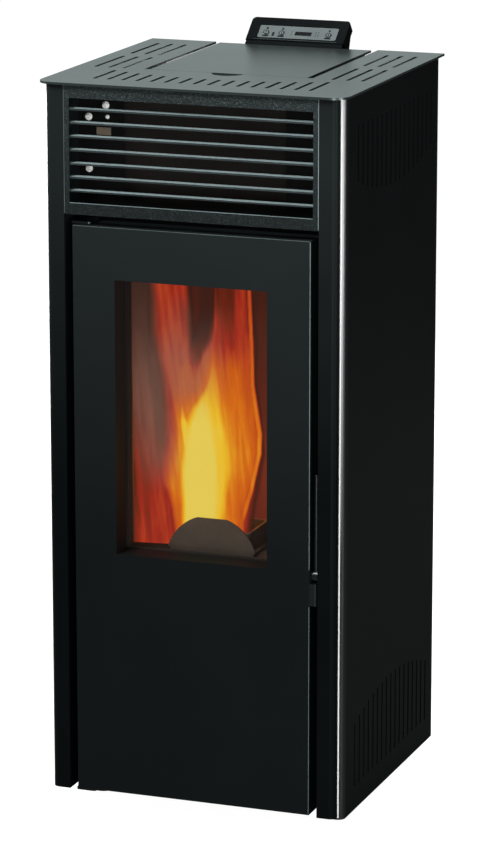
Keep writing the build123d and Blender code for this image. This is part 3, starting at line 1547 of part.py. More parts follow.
arm_slot_gap = 2
arm_rise = latch_arm_length * sin(radians(lever_swing))
with BuildPart() as door_inner_frame:
    with BuildSketch(front_plane(cover_depth)):
        inside = door_half_width - door_wall - slip_gap
        span(-inside, inside, door_bottom + door_wall + slip_gap,
             door_top - door_wall - slip_gap)
        window(0, Mode.SUBTRACT)
        half_slot = latch_arm_thickness / 2 + arm_slot_gap
        span(latch_arm_x - half_slot, latch_arm_x + half_slot,
             lever_pivot_z - roller_radius - arm_slot_gap,
             lever_pivot_z + arm_rise + roller_radius + arm_slot_gap, Mode.SUBTRACT)
    extrude(amount=-inner_frame_thickness)
    with BuildSketch(front_plane(glass_depth + glass_thickness)):
        window(glass_lap)
        window(glass_lap / 2, Mode.SUBTRACT)
    extrude(amount=glass_depth + glass_thickness - cover_depth)
door_inner_frame.part.label = "door_inner_frame"
export_step(door_inner_frame.part, "parts/door_inner_frame.step")

with BuildPart() as door_glass:
    with BuildSketch(front_plane(glass_depth)):
        window(glass_lap)
    extrude(amount=-glass_thickness)
door_glass.part.label = "door_glass"
export_step(door_glass.part, "parts/door_glass.step")

with BuildPart() as door_gasket:
    with BuildSketch(front_plane(door_depth)):
        window(gasket_out + gasket_width)
        fillet(vertices(), gasket_width)
        window(gasket_out, Mode.SUBTRACT)
    extrude(amount=door_depth + gasket_gap - bulkhead_depth)
door_gasket.part.label = "door_gasket"
export_step(door_gasket.part, "parts/door_gasket.step")

with BuildPart() as hinge_bushes:
    for outside, inward in ((door_top, -1), (door_bottom, 1)):
        with BuildSketch(Plane.XY.offset(outside)):
            with Locations((hinge_x, hinge_y)):
                Circle(bush_radius)
        extrude(amount=inward * bush_length)
        with BuildSketch(Plane.XY.offset(outside)):
            with Locations((hinge_x, hinge_y)):
                Circle(bush_radius + bush_wall)
        extrude(amount=-inward * bush_flange)
    with BuildSketch(Plane.XY.offset(door_bottom - bush_flange)):
        with Locations((hinge_x, hinge_y)):
            Circle(hinge_pin_radius + hinge_clearance)
    extrude(amount=door_top - door_bottom + 2 * bush_flange, mode=Mode.SUBTRACT)
hinge_bushes.part.label = "hinge_bushes"
export_step(hinge_bushes.part, "parts/hinge_bushes.step")

bracket_half = 14
bracket_tab = 20
bracket_front = 5
pin_reach = bush_flange + bush_length - 1
with BuildPart() as door_hinge_brackets:
    for outside, away in ((door_top, 1), (door_bottom, -1)):
        near = outside + away * (bush_flange + gasket_gap)
        with BuildSketch(Plane.XY.offset(near)):
            span(hinge_x - bracket_half, hinge_x + bracket_half,
                 face_y + bracket_front, face_y + bulkhead_depth)
            fillet(vertices().group_by(Axis.Y)[0], 4)
        extrude(amount=away * hinge_plate)
        with BuildSketch(Plane.XY.offset(near)):
            span(hinge_x - bracket_half, hinge_x + bracket_half,
                 face_y + bulkhead_depth - hinge_plate, face_y + bulkhead_depth)
        extrude(amount=bracket_tab)
        with BuildSketch(Plane.XY.offset(near)):
            with Locations((hinge_x, hinge_y)):
                Circle(hinge_pin_radius)
        extrude(amount=-away * pin_reach)
door_hinge_brackets.part.label = "door_hinge_brackets"
export_step(door_hinge_brackets.part, "parts/door_hinge_brackets.step")

# ---------------------------------------------------------------- latch and handle lever
cheek_thickness = 1.2
block_outer_x = door_half_width + latch_block_out
block_top = lever_pivot_z - lever_hub_radius - running_gap
with BuildPart() as latch_bracket:
    with BuildSketch(Plane.XY.offset(latch_block_bottom)):
        span(door_half_width, block_outer_x, face_y, face_y + latch_block_depth)
        fillet(vertices().group_by(Axis.Y)[0].sort_by(Axis.X)[-1], 3)
    extrude(amount=block_top - latch_block_bottom)
    with BuildSketch(Plane.YZ.offset(door_half_width)):
        span(lever_y - lever_hub_radius, lever_y + lever_hub_radius, latch_block_bottom,
             lever_pivot_z + lever_hub_radius)
        with Locations((lever_y, lever_pivot_z)):
            Circle(shaft_bore, mode=Mode.SUBTRACT)
    extrude(amount=cheek_thickness)
latch_bracket.part.label = "latch_bracket"
export_step(latch_bracket.part, "parts/latch_bracket.step")

hub_near = lever_x - lever_hub_width / 2
with BuildPart() as handle_lever:
    with BuildSketch(Plane.YZ.offset(hub_near)):
        with Locations((lever_y, lever_pivot_z)):
            Circle(lever_hub_radius)
    extrude(amount=lever_hub_width)
    with BuildSketch(Plane.XY.offset(lever_pivot_z)):
        with Locations((lever_x, lever_y)):
            Circle(lever_radius)
    extrude(amount=lever_top - lever_pivot_z)
    fillet(edges().group_by(Axis.Z)[-1], lever_radius * 0.4)
    arm_near = latch_arm_x - latch_arm_thickness / 2
    with BuildSketch(Plane.YZ.offset(arm_near)):
        with Locations((lever_y, lever_pivot_z)):
            Circle(latch_shaft_radius)
    extrude(amount=hub_near - arm_near)
    with BuildSketch(Plane.YZ.offset(arm_near)):
        span(lever_y, lever_y + latch_arm_length,
             lever_pivot_z - latch_shaft_radius, lever_pivot_z + latch_shaft_radius)
        with Locations((lever_y + latch_arm_length, lever_pivot_z)):
            Circle(roller_radius)
    extrude(amount=latch_arm_thickness)
handle_lever.part.label = "handle_lever"
export_step(handle_lever.part, "parts/handle_lever.step")

keeper_front = lever_depth + latch_arm_length + roller_radius + running_gap
with BuildPart() as latch_keeper:
    with BuildSketch(front_plane(keeper_front)):
        span(latch_arm_x - 2 * latch_arm_thickness, latch_arm_x + 2 * latch_arm_thickness,
             lever_pivot_z - 2 * roller_radius, lever_pivot_z + 2 * roller_radius)
    extrude(amount=keeper_front - bulkhead_depth)
latch_keeper.part.label = "latch_keeper"
export_step(latch_keeper.part, "parts/latch_keeper.step")
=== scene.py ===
"""The pellet stove dressed for its photograph: paint, plastic, glass, fire, light and camera."""
import json
import math
import bpy
from mathutils import Matrix, Vector, noise

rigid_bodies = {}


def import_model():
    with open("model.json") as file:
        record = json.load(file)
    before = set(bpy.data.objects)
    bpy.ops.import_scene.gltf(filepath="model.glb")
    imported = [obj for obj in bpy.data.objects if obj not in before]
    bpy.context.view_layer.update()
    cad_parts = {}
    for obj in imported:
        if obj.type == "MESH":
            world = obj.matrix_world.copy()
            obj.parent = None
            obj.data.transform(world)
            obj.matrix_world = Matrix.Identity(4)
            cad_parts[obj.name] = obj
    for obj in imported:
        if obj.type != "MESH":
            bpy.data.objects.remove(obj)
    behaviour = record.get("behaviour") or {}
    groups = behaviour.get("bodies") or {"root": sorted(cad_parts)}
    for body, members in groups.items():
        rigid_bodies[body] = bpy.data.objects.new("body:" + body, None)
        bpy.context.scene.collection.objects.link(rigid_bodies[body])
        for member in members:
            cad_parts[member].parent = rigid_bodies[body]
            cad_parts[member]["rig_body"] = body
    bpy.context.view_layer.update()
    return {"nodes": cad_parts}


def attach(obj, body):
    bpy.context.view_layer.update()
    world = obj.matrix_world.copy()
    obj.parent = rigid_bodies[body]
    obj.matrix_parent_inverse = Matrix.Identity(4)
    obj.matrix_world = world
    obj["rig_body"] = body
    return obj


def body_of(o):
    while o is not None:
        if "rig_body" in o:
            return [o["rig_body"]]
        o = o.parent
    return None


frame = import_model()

nodes = frame["nodes"]

# Y of the casing's front plane, from which depths into the stove are counted
FRONT = -0.227


def in_scene(name, data):
    """Object that shows this data, linked to the scene."""
    obj = bpy.data.objects.new(name, data)
    bpy.context.scene.collection.objects.link(obj)
    return obj


# ------------------------------------------------------------------ camera
IMAGE_HEIGHT = 848
SENSOR_HEIGHT = 24
FOCAL_PX = 3985.5
CAMERA_PLACE = (1.8047, -4.905, 1.7626)
YAW, PITCH, ROLL = 20.388, 13.676, 0.039

camera_data = bpy.data.cameras.new("camera")
camera_data.sensor_fit = "VERTICAL"
camera_data.sensor_height = SENSOR_HEIGHT
camera_data.lens = FOCAL_PX * SENSOR_HEIGHT / IMAGE_HEIGHT
camera_data.clip_start = 0.1
camera_data.clip_end = 60
camera = in_scene("camera", camera_data)
camera.matrix_world = (
    Matrix.Translation(CAMERA_PLACE)
    @ Matrix.Rotation(math.radians(YAW), 4, "Z")
    @ Matrix.Rotation(math.radians(90 - PITCH), 4, "X")
    @ Matrix.Rotation(math.radians(-ROLL), 4, "Z")
)
bpy.context.scene.camera = camera


# ------------------------------------------------------------------ materials
SHADE_LOW, SHADE_HIGH = 0.3, 0.7
SLOW_SCALE, SLOW_DETAIL = 6, 4
PEEL_SCALE = 1400
COOL_TINT = (0.82, 1.0, 1.0, 1)


class Paint:
    """A node material that is put together step by step."""

    def __init__(self, name):
        self.material = bpy.data.materials.new(name)
        self.material.use_nodes = True
        self.tree = self.material.node_tree
        self.shader = self.tree.nodes["Principled BSDF"]
        self.place = self.add("ShaderNodeTexCoord").outputs["Object"]

    def add(self, kind, **values):
        """Node of this kind, with these of its properties set."""
        node = self.tree.nodes.new(kind)
        for key, value in values.items():
            setattr(node, key, value)
        return node

    def link(self, source, target):
        self.tree.links.new(source, target)

    def drive(self, socket, source):
        """Let a node's output set a socket of the shader."""
        self.link(source, self.shader.inputs[socket])

    def value(self, **sockets):
        """Set sockets of the shader to constants."""
        for key, value in sockets.items():
            self.shader.inputs[key.replace("_", " ")].default_value = value

    def mapped(self, scale):
        """Place on the piece, scaled along each axis."""
        node = self.add("ShaderNodeMapping")
        node.inputs["Scale"].default_value = scale
        self.link(self.place, node.inputs["Vector"])
        return node.outputs["Vector"]

    def noise(self, scale, detail=3.0, rough=0.55, stretch=None):
        """Cloudy noise, stretched along an axis if asked."""
        node = self.add("ShaderNodeTexNoise")
        node.inputs["Scale"].default_value = scale
        node.inputs["Detail"].default_value = detail
        node.inputs["Roughness"].default_value = rough
        self.link(self.mapped(stretch) if stretch else self.place, node.inputs["Vector"])
        return node.outputs["Fac"]

    def slow(self):
        """Noise that changes slowly over a sheet."""
        return self.noise(SLOW_SCALE, SLOW_DETAIL)

    def ramp(self, factor, *stops):
        """Colour picked by the factor from (place, colour) stops."""
        node = self.add("ShaderNodeValToRGB")
        elements = node.color_ramp.elements
        elements.remove(elements[1])
        elements[0].position = stops[0][0]
        elements[0].color = (*stops[0][1], 1)
        for place, colour in stops[1:]:
            elements.new(place).color = (*colour, 1)
        self.link(factor, node.inputs["Fac"])
        return node.outputs["Color"]

    def shades(self, factor, dark, light):
        """Colour that drifts between two shades."""
        return self.ramp(factor, (SHADE_LOW, dark), (SHADE_HIGH, light))

    def axis(self, letter, of="Object"):
        """One axis of the place on the piece, or of the way its skin faces."""
        coordinate = self.add("ShaderNodeTexCoord").outputs[of]
        node = self.add("ShaderNodeSeparateXYZ")
        self.link(coordinate, node.inputs["Vector"])
        return node.outputs[letter]

    def maths(self, operation, *sources):
        """Result of a maths node on these outputs."""
        node = self.add("ShaderNodeMath", operation=operation)
        for socket, source in zip(node.inputs, sources):
            self.link(source, socket)
        return node.outputs[0]

    def blend(self, factor, source, colour):
        """Goes from an output's colour to a constant one with the factor."""
        node = self.add("ShaderNodeMix", data_type="RGBA")
        self.link(factor, node.inputs["Factor"])
        self.link(source, node.inputs["A"])
        node.inputs["B"].default_value = (*colour, 1)
        return node.outputs["Result"]

    def across(self, factor, start, end, low, high):
        """Value that goes from low to high while the factor goes from start to end."""
        node = self.add("ShaderNodeMapRange")
        for key, value in zip(("From Min", "From Max", "To Min", "To Max"),
                              (start, end, low, high)):
            node.inputs[key].default_value = value
        self.link(factor, node.inputs["Value"])
        return node.outputs["Result"]

    def painted_shade_below(self, colour, low, high, share):
        """The colour as it is above one height, and this share of it below the other, as painted
        shade.
        """
        node = self.add("ShaderNodeVectorMath", operation="SCALE")
        self.link(colour, node.inputs["Vector"])
        self.link(self.across(self.axis("Z"), low, high, share, 1.0), node.inputs["Scale"])
        return node.outputs["Vector"]

    def roughness(self, factor, low, high):
        self.drive("Roughness", self.across(factor, 0, 1, low, high))

    def bump(self, height, strength, distance):
        node = self.add("ShaderNodeBump")
        node.inputs["Strength"].default_value = strength
        node.inputs["Distance"].default_value = distance
        self.link(height, node.inputs["Height"])
        self.drive("Normal", node.outputs["Normal"])


def cool(level):
    """Paint of this level, a little blue-green as the photograph's blacks are."""
    return (level * 0.78, level, level * 1.03)


def powder_coat(name, dark, light, rough, shine, grain_scale=PEEL_SCALE, grain=0.25,
                depth=0.00012, painted_shade=None):
    """Baked paint: a fine orange-peel grain, a slow change of tone and of gloss, and painted shade
    towards the bottom if asked.
    """
    paint = Paint(name)
    slow = paint.slow()
    colour = paint.shades(slow, dark, light)
    if painted_shade:
        colour = paint.painted_shade_below(colour, *painted_shade)
    paint.drive("Base Color", colour)
    paint.roughness(slow, rough - 0.04, rough + 0.04)
    paint.bump(paint.noise(grain_scale, 2), grain, depth)
    paint.value(Specular_IOR_Level=shine, Specular_Tint=COOL_TINT)
    return paint.material


# Y limits of the side panels' folded front corner, and the shine on it and behind it
CORNER_START, CORNER_END = -0.206, -0.198
CORNER_SHINE, FLANK_SHINE = 0.62, 0.03


def casing():
    """Side panels: satin black, glossier on the folded front corner."""
    paint = Paint("casing_black")
    slow = paint.slow()
    paint.drive("Base Color", paint.shades(slow, cool(0.0035), cool(0.0055)))
    paint.roughness(slow, 0.30, 0.38)
    paint.bump(paint.noise(PEEL_SCALE, 2), 0.2, 0.0001)
    paint.drive("Specular IOR Level", paint.across(paint.axis("Y"), CORNER_START, CORNER_END,
                                                   CORNER_SHINE, FLANK_SHINE))
    return paint.material


def flecked(name, dark, light, fleck, painted_shade):
    """Structured paint: a dark ground with a fine, uneven scatter of paler flecks, and painted
    shade towards the bottom.
    """
    paint = Paint(name)
    grain = paint.noise(620, 3, 0.7)
    colour = paint.ramp(grain, (0.40, dark), (0.56, light), (0.68, fleck))
    paint.drive("Base Color", paint.painted_shade_below(colour, *painted_shade))
    paint.roughness(grain, 0.36, 0.5)
    paint.bump(grain, 0.7, 0.0004)
    paint.value(Specular_IOR_Level=0.2, Specular_Tint=COOL_TINT)
    return paint.material


def slat_paint():
    """Slats: charcoal, with a painted highlight: pale colour on the crown of each nose that faces
    up.
    """
    paint = Paint("slat_charcoal")
    slow = paint.slow()
    ground = paint.shades(slow, cool(0.018), cool(0.028))
    # painted highlight: pale where the skin faces up
    crown = paint.across(paint.axis("Z", "Normal"), 0.15, 0.75, 0.0, 1.0)
    paint.drive("Base Color", paint.blend(crown, ground, cool(0.30)))
    paint.roughness(slow, 0.26, 0.34)
    paint.bump(paint.noise(PEEL_SCALE, 2), 0.15, 0.0001)
    paint.value(Specular_IOR_Level=0.7, Specular_Tint=COOL_TINT)
    return paint.material


def trim_paint():
    """Bright corner trims: near white in front, a painted reflection standing in for polished
    metal, and darkened towards the floor on their flanks by painted shade.
    """
    paint = Paint("polished_trim")
    lines = paint.noise(1, 3, 0.6, stretch=(400, 400, 3))
    # near white: a painted reflection standing in for polished metal
    ground = paint.shades(lines, (0.93, 0.95, 0.94), (0.99, 1.0, 0.99))
    # painted shade: the flanks turn dark towards the floor
    flank = paint.across(paint.maths("ABSOLUTE", paint.axis("X", "Normal")), 0.45, 0.8, 0.0, 1.0)
    below = paint.across(paint.axis("Z"), 0.80, 0.38, 0.0, 0.99)
    with_painted_shade = paint.blend(paint.maths("MULTIPLY", flank, below), ground, (0.012, 0.018, 0.017))
    paint.drive("Base Color", with_painted_shade)
    paint.roughness(lines, 0.24, 0.36)
    paint.bump(lines, 0.02, 0.00005)
    return paint.material


def bare_metal(name, dark, light, rough, metallic=1.0):
    """Rolled or drawn metal: a slow change of tone, and fine streaks in its gloss."""
    paint = Paint(name)
    lines = paint.noise(1, 3, 0.6, stretch=(30, 30, 900))
    paint.drive("Base Color", paint.shades(paint.noise(14, 4), dark, light))
    paint.roughness(lines, rough - 0.07, rough + 0.09)
    paint.bump(lines, 0.08, 0.00005)
    paint.value(Metallic=metallic)
    return paint.material


def zinc_sheet():
    """Galvanised sheet with its spangle."""
    paint = Paint("zinc_sheet")
    cell = paint.add("ShaderNodeTexVoronoi")
    cell.inputs["Scale"].default_value = 90
    paint.link(paint.place, cell.inputs["Vector"])
    tone = paint.add("ShaderNodeSeparateColor")
    paint.link(cell.outputs["Color"], tone.inputs["Color"])
    spangle = paint.ramp(tone.outputs["Red"], (0.0, (0.42, 0.43, 0.45)), (1.0, (0.62, 0.63, 0.66)))
    paint.drive("Base Color", spangle)
    paint.roughness(tone.outputs["Green"], 0.28, 0.46)
    paint.bump(cell.outputs["Distance"], 0.05, 0.0001)
    paint.value(Metallic=1.0)
    return paint.material


def moulded(name, dark, light, rough, shine=0.5):
    """Moulded plastic or rubber with a spark-eroded grain."""
    paint = Paint(name)
    slow = paint.noise(25, 3)
    paint.drive("Base Color", paint.shades(slow, dark, light))
    paint.roughness(slow, rough - 0.03, rough + 0.05)
    paint.bump(paint.noise(1600, 2), 0.3, 0.0001)
    paint.value(Specular_IOR_Level=shine)
    return paint.material


def cast_iron():
    """Heat-stained iron: rusty brown bloom over a darker ground, rough skin."""
    paint = Paint("firebox_cast")
    bloom = paint.noise(14, 6, 0.65)
    paint.drive("Base Color", paint.ramp(bloom, (0.3, (0.020, 0.012, 0.007)),
                                         (0.55, (0.042, 0.026, 0.014)),
                                         (0.8, (0.030, 0.020, 0.014))))
    paint.roughness(bloom, 0.62, 0.85)
    paint.bump(paint.noise(380, 4), 0.6, 0.0006)
    return paint.material


def rope():
    """Glass-fibre rope: a twill of short slanting strands."""
    paint = Paint("rope_seal")
    wave = paint.add("ShaderNodeTexWave", bands_direction="DIAGONAL")
    wave.inputs["Scale"].default_value = 90
    wave.inputs["Distortion"].default_value = 2
    paint.link(paint.place, wave.inputs["Vector"])
    strands = wave.outputs["Fac"]
    paint.drive("Base Color", paint.ramp(strands, (0.2, (0.05,) * 3), (0.8, (0.13,) * 3)))
    paint.bump(strands, 0.8, 0.0008)
    paint.value(Roughness=0.9)
    return paint.material


def stove_glass():
    """Clear glass-ceramic, a little brown, with a faint uneven haze."""
    paint = Paint("ceramic_glass")
    haze = paint.noise(9, 5)
    paint.drive("Base Color", paint.shades(haze, (0.05, 0.045, 0.04), (0.03, 0.027, 0.025)))
    paint.bump(haze, 0.02, 0.0002)
    paint.value(Roughness=0.04, Alpha=0.05, Specular_IOR_Level=0.2)
    return paint.material


casing_black = casing()
top_black = powder_coat("top_black", cool(0.012), cool(0.018), 0.32, 0.7)
# Columns, door and grille frame: painted shade darkens each towards the bottom.
column_black = powder_coat("column_black", cool(0.0085), cool(0.0115), 0.40, 0.04,
                           painted_shade=(0.46, 0.90, 0.22))
door_charcoal = powder_coat("door_charcoal", cool(0.0115), cool(0.0135), 0.47, 0.04,
                            grain_scale=2200, grain=0.2, painted_shade=(0.36, 0.84, 0.40))
grille_charcoal = flecked("grille_charcoal", cool(0.006), cool(0.019), cool(0.085),
                          painted_shade=(0.81, 0.97, 0.42))
slat_charcoal = slat_paint()
# Bright lines along the edges of sheets: painted highlights, the brighter one with painted shade
# towards the bottom.
edge_painted_highlight = powder_coat("edge_painted_highlight", cool(0.14), cool(0.22), 0.35, 0.4, painted_shade=(0.2, 0.7, 0.5))
edge_painted_highlight_dim = powder_coat("edge_painted_highlight_dim", cool(0.05), cool(0.09), 0.35, 0.4)
print_dark = powder_coat("print_dark", cool(0.003), cool(0.005), 0.5, 0.1)
# grey for the printed ticks and for the painted highlight along the panel's crease
print_and_highlight_grey = powder_coat("print_and_highlight_grey", cool(0.03), cool(0.05), 0.5, 0.1)
rear_black = powder_coat("rear_black", cool(0.008), cool(0.012), 0.5, 0.2)
handle_black = powder_coat("handle_black", cool(0.003), cool(0.006), 0.25, 0.3)
firebox_black = powder_coat("firebox_black", (0.010, 0.008, 0.007), (0.018, 0.014, 0.012), 0.7,
                            0.1, grain_scale=700, grain=0.6, depth=0.0004)
bulkhead_black = powder_coat("bulkhead_black", (0.004, 0.004, 0.004), (0.007, 0.006, 0.006),
                             0.7, 0.05, grain_scale=700, grain=0.6, depth=0.0004)
motor_black = powder_coat("motor_black", cool(0.02), cool(0.035), 0.45, 0.3)
flue_black = powder_coat("flue_black", cool(0.01), cool(0.016), 0.6, 0.2)
polished_trim = trim_paint()
inner_steel = bare_metal("inner_steel", (0.3, 0.3, 0.31), (0.42, 0.42, 0.43), 0.38)
fan_steel = bare_metal("fan_steel", (0.38, 0.38, 0.39), (0.52, 0.52, 0.53), 0.34)
auger_steel = bare_metal("auger_steel", (0.28, 0.27, 0.26), (0.45, 0.44, 0.43), 0.36)
exchanger_steel = bare_metal("exchanger_steel", (0.2, 0.15, 0.12), (0.38, 0.32, 0.28), 0.4)
ash_steel = bare_metal("ash_steel", (0.16, 0.15, 0.15), (0.3, 0.29, 0.28), 0.5)
intake_steel = bare_metal("intake_steel", (0.4, 0.4, 0.41), (0.55, 0.55, 0.56), 0.33)
screw_steel = bare_metal("screw_steel", (0.25, 0.25, 0.26), (0.5, 0.5, 0.5), 0.3)
zinc = zinc_sheet()
bolt_zinc = bare_metal("bolt_zinc", (0.85, 0.85, 0.82), (0.97, 0.97, 0.95), 0.35, metallic=0.1)
patch_tan = bare_metal("patch_tan", (0.11, 0.085, 0.055), (0.18, 0.14, 0.10), 0.6, metallic=0.1)
panel_black = moulded("panel_black", (0.002, 0.003, 0.003), (0.003, 0.004, 0.004), 0.36,
                      shine=0.02)
socket_black = moulded("socket_black", (0.008, 0.008, 0.009), (0.013, 0.013, 0.014), 0.45)
seal_black = moulded("seal_black", (0.008, 0.008, 0.008), (0.014, 0.014, 0.014), 0.75)
foot_black = moulded("foot_black", (0.007, 0.007, 0.007), (0.012, 0.012, 0.012), 0.7)
membrane_grey = moulded("membrane_grey", (0.05, 0.066, 0.067), (0.062, 0.08, 0.081), 0.42,
                        shine=0.4)
button_grey = moulded("button_grey", (0.07, 0.09, 0.09), (0.09, 0.11, 0.11), 0.4)
display_dark = moulded("display_dark", (0.002, 0.003, 0.003), (0.003, 0.004, 0.004), 0.3,
                       shine=0.05)
circuit_green = moulded("circuit_green", (0.01, 0.09, 0.03), (0.015, 0.13, 0.045), 0.4)
led_smoked = moulded("led_smoked", (0.004, 0.006, 0.006), (0.008, 0.010, 0.010), 0.3, shine=0.2)
firebox_cast = cast_iron()
rope_seal = rope()
ceramic_glass = stove_glass()

DRESS = {
    casing_black: "side_panel_left side_panel_right",
    column_black: "front_column_left front_column_right",
    top_black: "top_plate hopper_lid",
    polished_trim: "corner_trims",
    grille_charcoal: "grille_frame",
    slat_charcoal: "grille_slats",
    door_charcoal: "door_panel",
    handle_black: "handle_lever latch_bracket door_hinge_brackets",
    inner_steel: "latch_keeper lid_pivots",
    firebox_black: "firebox_shell ash_box exchanger_box smoke_duct door_inner_frame"
                   " hinge_bushes",
    bulkhead_black: "front_bulkhead",
    ceramic_glass: "door_glass",
    rope_seal: "door_gasket",
    firebox_cast: "firebox_liner burn_pot pot_front_plate",
    exchanger_steel: "exchanger_tubes",
    ash_steel: "ash_drawer",
    intake_steel: "air_intake_pipe igniter",
    zinc: "base_plate hopper hopper_rails hopper_grid auger_tube blower_housing exhaust_housing"
          " flue_box",
    auger_steel: "auger_screw",
    fan_steel: "exhaust_wheel blower_wheel",
    motor_black: "auger_motor blower_motor exhaust_motor",
    flue_black: "flue_spigot",
    rear_black: "back_panel",
    screw_steel: "rear_screws",
    socket_black: "mains_socket rocker_switch",
    circuit_green: "control_board",
    panel_black: "control_housing",
    membrane_grey: "keypad",
    display_dark: "display_window",
    led_smoked: "status_leds",
    button_grey: "button_left button_middle button_right",
    seal_black: "lid_seal",
    foot_black: "levelling_feet",
}
for material, names in DRESS.items():
    for name in names.split():
        node = nodes[name]
        node.data.materials.clear()
        node.data.materials.append(material)


# ------------------------------------------------------------------ small pieces
def solid(name, verts, faces, paint, body):
    """Closed mesh that rides a body of the frame."""
    mesh = bpy.data.meshes.new(name)
    mesh.from_pydata([tuple(v) for v in verts], [], faces)
    mesh.materials.append(paint)
    obj = in_scene(name, mesh)
    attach(obj, body)


def block(name, centre, size, paint, body, axes=((1, 0, 0), (0, 1, 0), (0, 0, 1))):
    """Block of this size round a centre, along three axes."""
    half = [Vector(axis) * extent / 2 for axis, extent in zip(axes, size)]
    verts = [Vector(centre) + half[0] * a + half[1] * b + half[2] * c
             for a in (-1, 1) for b in (-1, 1) for c in (-1, 1)]
    faces = [(0, 1, 3, 2), (4, 6, 7, 5), (0, 4, 5, 1), (2, 3, 7, 6), (0, 2, 6, 4), (1, 5, 7, 3)]
    solid(name, verts, faces, paint, body)


def turned(name, foot, axis, profile, sides, paint, body):
    """Turned or many-sided piece: (radius, height) rows round an axis, closed at both ends."""
    axis = Vector(axis).normalized()
    side = axis.orthogonal().normalized()
    other = axis.cross(side)
    verts = []
    for radius, height in profile:
        for k in range(sides):
            angle = 2 * math.pi * k / sides
            verts.append(Vector(foot) + axis * height
                         + (side * math.cos(angle) + other * math.sin(angle)) * radius)
    faces = [tuple(reversed(range(sides)))]
    for row in range(len(profile) - 1):
        for k in range(sides):
            low, high = row * sides, (row + 1) * sides
            after = (k + 1) % sides
            faces.append((low + k, low + after, high + after, high + k))
    faces.append(tuple(range(len(verts) - sides, len(verts))))
    solid(name, verts, faces, paint, body)


LINE_PROUD = 0.0003
# name, body, slot, paint, X limits and Z limits of the bright line along a sheet's edge, which is a
# painted highlight
PAINTED_EDGE_HIGHLIGHTS = [
    ("door_edge_highlight_upper", "door", "door_charcoal", edge_painted_highlight, (0.1628, 0.1636), (0.362, 0.793)),
    ("door_edge_highlight_lower", "door", "door_charcoal", edge_painted_highlight, (0.1628, 0.1636), (0.030, 0.312)),
    ("door_edge_highlight_top", "door", "door_charcoal", edge_painted_highlight_dim, (-0.162, 0.1628), (0.7932, 0.794)),
    ("grille_edge_highlight_top", "stove", "grille_charcoal", edge_painted_highlight, (-0.174, 0.1742), (0.976, 0.9767)),
    ("grille_edge_highlight_right", "stove", "grille_charcoal", edge_painted_highlight, (0.1734, 0.1742), (0.809, 0.976)),
    ("grille_edge_highlight_left", "stove", "grille_charcoal", edge_painted_highlight_dim, (-0.1742, -0.1734), (0.809, 0.976)),
    ("grille_sill_highlight", "stove", "grille_charcoal", edge_painted_highlight, (-0.1665, 0.1665), (0.8229, 0.8236)),
]
for name, body, slot, paint, (left, right), (low, high) in PAINTED_EDGE_HIGHLIGHTS:
    block(name, ((left + right) / 2, FRONT, (low + high) / 2),
          (right - left, 2 * LINE_PROUD, high - low), paint, body)

BULKHEAD_FACE = FRONT + 0.052
BOLT_FOOT = BULKHEAD_FACE + 0.0002
FORWARD = (0, -1, 0)
# (X, Z) of each bolt, and (radius, height) rows of a washer with its bolt and of a rivet
BOLT_PLACES = [(-0.136, 0.944), (-0.160, 0.928), (-0.160, 0.860)]
BOLT_PROFILE = [(0.005, 0), (0.005, 0.001), (0.0036, 0.001), (0.0036, 0.0042), (0.0028, 0.005)]
RIVET_PROFILE = [(0.003, 0), (0.0026, 0.0012), (0.0014, 0.002)]
for number, (x, z) in enumerate(BOLT_PLACES, 1):
    turned(f"bulkhead_bolt_{number}", (x, BOLT_FOOT, z), FORWARD, BOLT_PROFILE, 12, bolt_zinc,
           "stove")
turned("bulkhead_rivet", (-0.134, BOLT_FOOT, 0.929), FORWARD, RIVET_PROFILE, 16, bolt_zinc,
       "stove")
block("bulkhead_patch", (-0.139, BULKHEAD_FACE - 0.0004, 0.910), (0.020, 0.001, 0.010),
      patch_tan, "stove")


# ------------------------------------------------------------------ control panel's marks
PANEL_TILT = math.radians(40)
PANEL_ORIGIN = Vector((-0.005, 0.177, 0.980))
PANEL_AXES = (Vector((1, 0, 0)), Vector((0, math.cos(PANEL_TILT), math.sin(PANEL_TILT))),
              Vector((0, -math.sin(PANEL_TILT), math.cos(PANEL_TILT))))
KEYPAD_LEVEL, KEY_LEVEL = -0.0002, 0.0008
MARK_PROUD = 0.00015
KEY_ROW = 0.022
RING_RADIUS, RING_WIDTH, RING_SIDES = 0.0038, 0.0011, 32
TICK_COUNT, TICK_START, TICK_PITCH = 4, 0.0185, 0.0026


def on_panel(across, up, level):
    """Place on the tilted face of the control panel, from its own axes in metres."""
    return PANEL_ORIGIN + sum((axis * value for axis, value in
                               zip(PANEL_AXES, (across, up, level))), Vector())


def mark(name, across, up, width, height, paint=print_dark, level=KEYPAD_LEVEL, body="stove"):
    """Printed bar, or bar of painted highlight, that lies on the keypad or on a key."""
    block(name, on_panel(across, up, level), (width, height, 2 * MARK_PROUD), paint, body,
          PANEL_AXES)


def ring(name, across, up, body):
    """Printed ring on the crown of a key."""
    inner, low, high = RING_RADIUS - RING_WIDTH, KEY_LEVEL - MARK_PROUD, KEY_LEVEL + MARK_PROUD
    section = ((RING_RADIUS, low), (RING_RADIUS, high), (inner, high), (inner, low))
    verts, faces = [], []
    for k in range(RING_SIDES):
        angle = 2 * math.pi * k / RING_SIDES
        for reach, level in section:
            verts.append(on_panel(across + reach * math.cos(angle), up + reach * math.sin(angle),
                                  level))
        after = (k + 1) % RING_SIDES
        for edge in range(4):
            follow = (edge + 1) % 4
            faces.append((4 * k + edge, 4 * after + edge, 4 * after + follow, 4 * k + follow))
    solid(name, verts, faces, print_dark, body)


